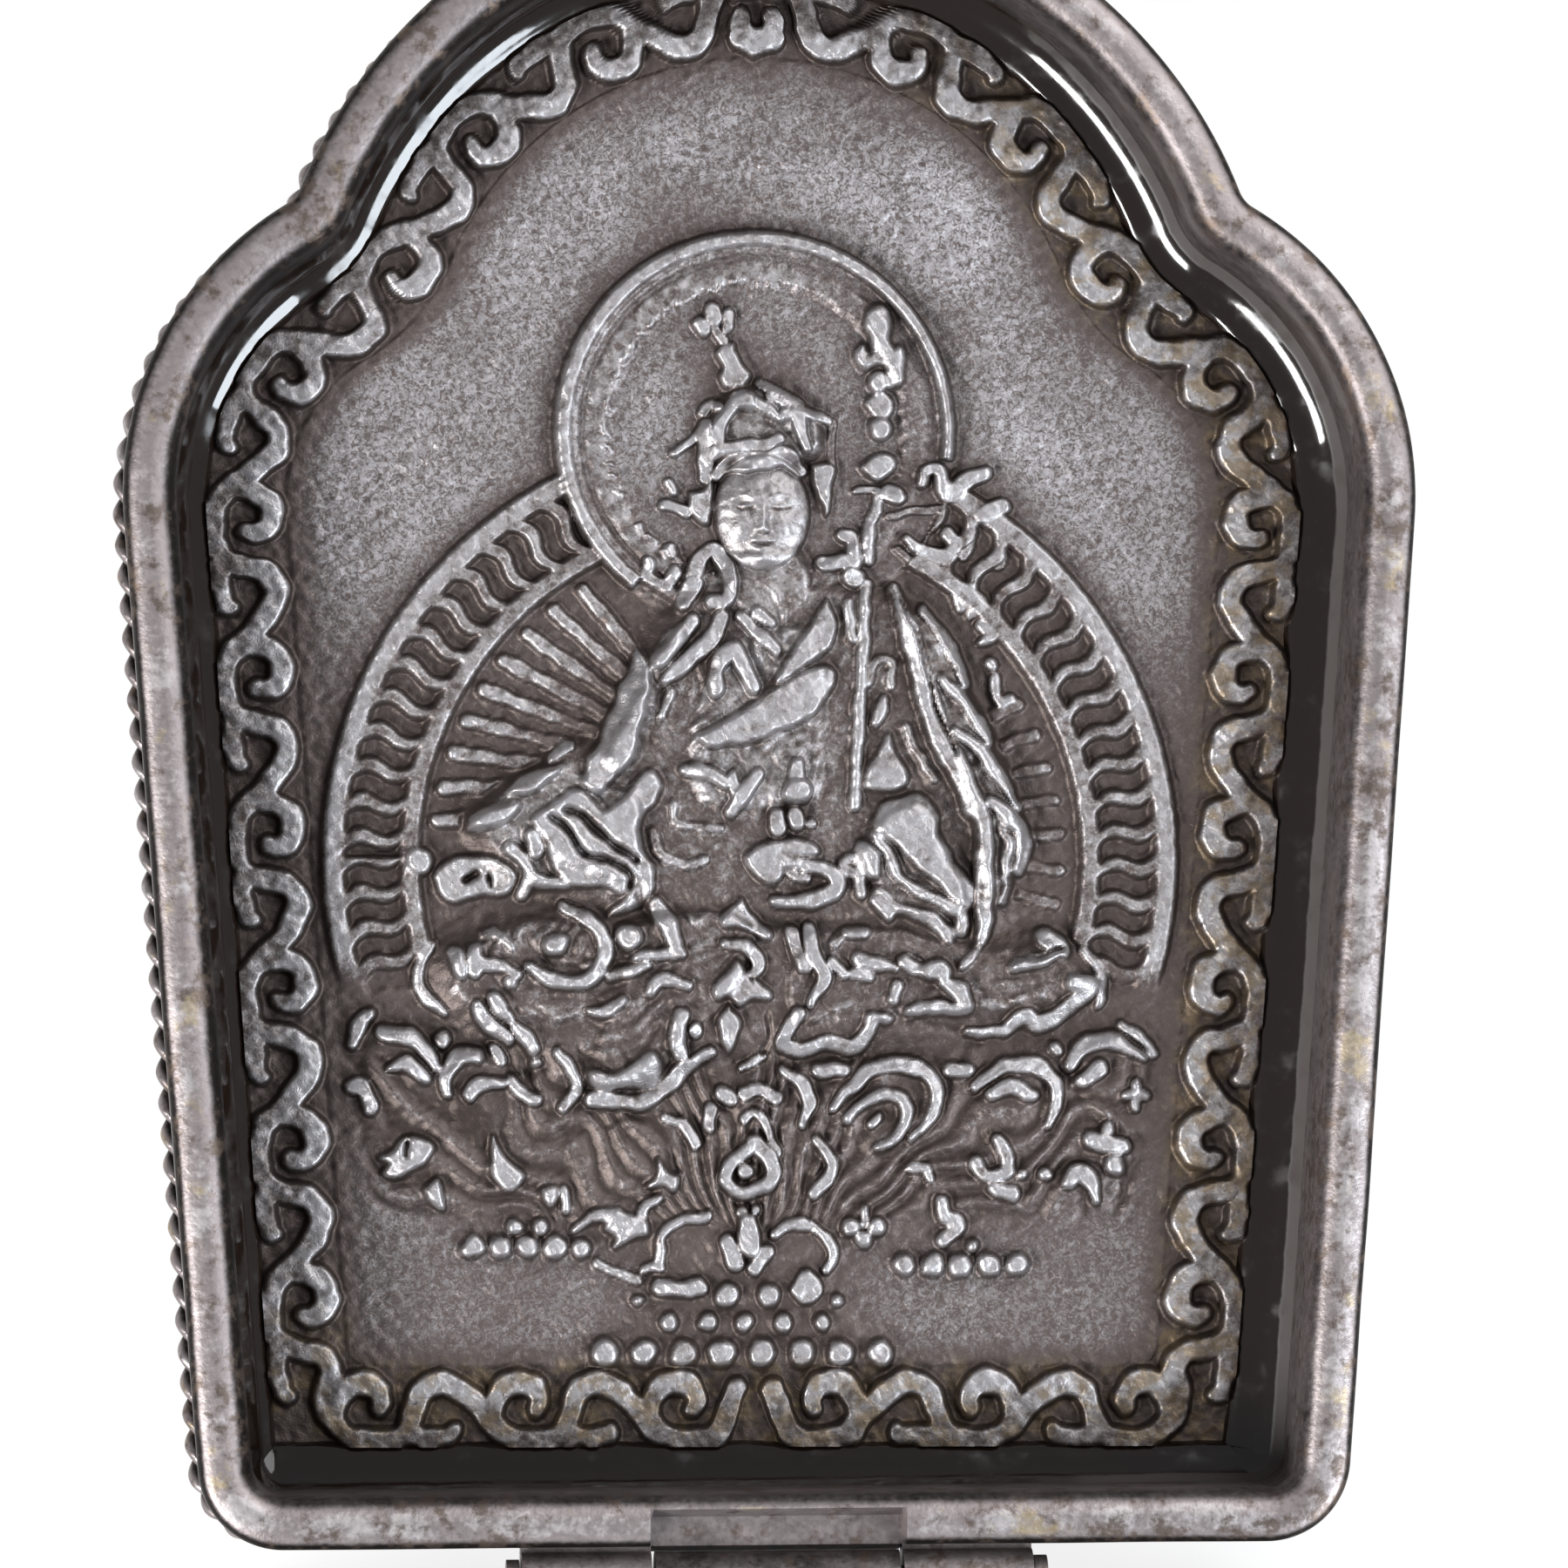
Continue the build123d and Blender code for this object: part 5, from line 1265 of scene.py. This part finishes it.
for band_number in range(BANDS):
    plate = plate_band(f"relief_band_{band_number + 1}", cuts[band_number], cuts[band_number + 1])
    plate.data.materials.append(relief_silver)
    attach(plate, "tray")
    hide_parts("relief_plate")

# Hinge: knuckles on the tray and a brass-brown knuckle with its leaf on the lid, turned from silver alloy
# and soldered on, with a riveted pin through all three.
hinge_silver = worn_silver("hinge_silver", 0.5)
dress("tray_hinge_knuckles", hinge_silver)
dress("lid_hinge_knuckle", worn_silver("hinge_brown", 0.3))
dress("hinge_pin", hinge_silver)

# Lugs at the two crowns: short drilled silver barrels for the neck cord, soldered to the walls.
# Two sit on the tray and one on the lid, which comes between them when the box is closed.
lug_silver = worn_silver("lug_silver", 0.75)
dress("tray_bail_lugs", lug_silver)
dress("lid_bail_lug", lug_silver)

# Lid shell: a band of silver strip like the tray's wall, but lower and without a notch, soldered to a
# silver face plate with a sunk field. It lies beside the tray when the box is open.
LID_HEIGHT = 4.5
lid_wall = wall_band("lid_wall", LID, LID_PLATE, LID_HEIGHT, 15)
lid_wall.data.materials.append(rim_silver)
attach(lid_wall, "lid")
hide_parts("lid_wall_band")
dress("lid_face_plate", sheet_silver)

# Lid medallion: a disc of silver sheet, stamped with a lotus of two rows of petals round a seeded boss.
# It is soldered into the sunk field of the lid's outer face.
medallion_low, medallion_high = (np.array(corner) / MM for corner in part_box("lid_medallion"))
MEDALLION_R = (medallion_high[0] - medallion_low[0]) / 2
MEDALLION_RISE = medallion_high[2] - medallion_low[2]
MEDALLION_RINGS = 139
MEDALLION_SPOKES = 480
PETALS = 8


def lotus_disc(name):
    """Disc whose height is a function of radius and angle: a rim, two rows of petals and a seeded boss.

    A petal's half width grows with the root of the way along it and shrinks to a point at its tip.
    """
    radius = np.linspace(0, 1, MEDALLION_RINGS + 1)[1:, None]
    angle = np.linspace(0, 2 * math.pi, MEDALLION_SPOKES, endpoint=False)[None, :]

    def petal_row(first, root, tip, broad):
        """Height of a row of domed petals between two radii, each with a groove along its middle."""
        turn = (angle - first + math.pi / PETALS) % (2 * math.pi / PETALS) - math.pi / PETALS
        along = np.clip((radius - root) / (tip - root), 0.001, 0.999)
        across = np.abs(turn) * radius / (broad * along**0.5 * (1 - along) ** 0.6)
        ends = plateau(0.0, 0.1, 0.97, 1.0, along)
        groove = np.exp(-((turn * radius / 0.012) ** 2)) * smooth(0.1, 0.4, along)
        return np.sqrt(np.clip(1 - across**2, 0, 1)) * ends * (1 - 0.22 * groove)

    front = petal_row(0.0, 0.2, 0.84, 0.28)
    rear = petal_row(math.pi / PETALS, 0.3, 0.86, 0.24)
    rim = plateau(0.9, 0.925, 0.985, 1.0, radius)
    boss = 1 - smooth(0.215, 0.235, radius)
    seed_turn = np.sin(PETALS / 2 * angle) * radius / 0.05
    seeds = np.exp(-(((radius - 0.145) / 0.03) ** 2) - seed_turn**2) + np.exp(-((radius / 0.05) ** 2))
    share = np.maximum(0.3 + 0.55 * front, 0.3 + 0.34 * rear) * (1 - boss) * (1 - rim)
    share = share + boss * (0.72 + 0.24 * seeds) + 0.95 * rim
    share = np.clip(share + 0 * angle, 0, 1)
    height = medallion_high[2] - MEDALLION_RISE * share
    middle = np.array([0.0, (medallion_low[1] + medallion_high[1]) / 2])
    flat = middle + (radius * MEDALLION_R)[:, :, None] * np.stack([np.cos(angle), np.sin(angle)], 2)
    points = np.concatenate([flat, height[:, :, None]], 2)
    back = points[-1] * [1, 1, 0] + [0, 0, medallion_high[2]]
    points = np.concatenate([points.reshape(-1, 3), back])
    quads = woven(MEDALLION_RINGS + 1, MEDALLION_SPOKES, wrap_columns=True)
    wear = np.concatenate([(share - 0.3).ravel() * 1.9, np.zeros(MEDALLION_SPOKES)])
    spokes = np.arange(MEDALLION_SPOKES)
    caps = [spokes, (MEDALLION_RINGS * MEDALLION_SPOKES + spokes)[::-1]]
    return lay_mesh(name, points, quads[:, ::-1], caps, wear=wear)


medallion = lotus_disc("medallion")
medallion.data.materials.append(rim_silver)
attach(medallion, "lid")
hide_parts("lid_medallion")

# Stage: a plain white floor just under the box, broad soft lamps and a pale sky, none of it part of
# the object. The camera looks down on the open tray, turned a little to the right.
VIEW_TARGET = Vector((0.22, 21.44, 6.4)) * MM
VIEW_DISTANCE = 220 * MM
VIEW_WIDTH = 42.2 * MM
SENSOR = 36.0
YAW, PITCH, ROLL = math.radians(4.4), math.radians(1.5), math.radians(-0.14)
FLOOR_REACH = 2000
FLOOR_DROP = 0.02

floor_mesh = bpy.data.meshes.new("floor")
floor_corners = np.array([(-1, -1), (1, -1), (1, 1), (-1, 1)]) * FLOOR_REACH
floor_mesh.from_pydata([(x * MM, y * MM, -FLOOR_DROP * MM) for x, y in floor_corners], [], [(0, 1, 2, 3)])
floor = bpy.data.objects.new("floor", floor_mesh)
bpy.context.scene.collection.objects.link(floor)
floor_white, shade = new_finish("floor_white")
seen, glossy, through = (shade.node("LightPath", {}, {}, ray) for ray in (0, 3, 6))
seen = seen.maths("MAXIMUM", seen.maths("MAXIMUM", seen, glossy), through) * 0.85
matte = shade.node("BsdfDiffuse", {}, {"Color": (0.85, 0.85, 0.85, 1)})
glow = shade.node("Emission", {}, {"Color": (1, 1, 1, 1), "Strength": 1.0})
shade.node("OutputMaterial", {}, {"Surface": shade.node("MixShader", {}, {0: seen, 1: matte, 2: glow})})
floor_mesh.materials.append(floor_white)


def soft_lamp(name, place, width, height, power, tint=(1, 1, 1)):
    """A lamp of that width, height and power, in millimetres and watts, aimed at the tray's middle."""
    lamp = bpy.data.lights.new(name, "AREA")
    lamp.shape = "RECTANGLE"
    lamp.size = width * MM
    lamp.size_y = height * MM
    lamp.energy = power
    lamp.color = tint
    holder = bpy.data.objects.new(name, lamp)
    holder.location = Vector(place) * MM
    holder.rotation_euler = (holder.location - VIEW_TARGET).to_track_quat("Z", "Y").to_euler()
    bpy.context.scene.collection.objects.link(holder)


soft_lamp("left_lamp", (-320, -170, 270), 260, 80, 3.4)
soft_lamp("right_lamp", (320, -170, 270), 230, 150, 2.2, (0.86, 0.93, 1.0))
soft_lamp("top_lamp", (400, 440, 520), 520, 760, 4.4)
world = bpy.data.worlds.new("studio")
world.use_nodes = True
world.node_tree.nodes["Background"].inputs["Color"].default_value = (0.94, 0.96, 1.0, 1)
world.node_tree.nodes["Background"].inputs["Strength"].default_value = 0.34
bpy.context.scene.world = world

lens = bpy.data.cameras.new("view")
lens.sensor_width = SENSOR
lens.lens = SENSOR * VIEW_DISTANCE / VIEW_WIDTH
lens.clip_start = 0.01
camera = bpy.data.objects.new("view", lens)
back = Vector((-math.sin(YAW), -math.sin(PITCH), math.cos(YAW) * math.cos(PITCH))).normalized()
right = Vector((math.cos(ROLL), math.sin(ROLL), 0)).cross(back).cross(back) * -1
right.normalize()
turned = Matrix((right, back.cross(right), back)).transposed().to_4x4()
camera.matrix_world = Matrix.Translation(VIEW_TARGET + back * VIEW_DISTANCE) @ turned
bpy.context.scene.collection.objects.link(camera)
bpy.context.scene.camera = camera
bpy.context.scene.view_settings.view_transform = "Standard"
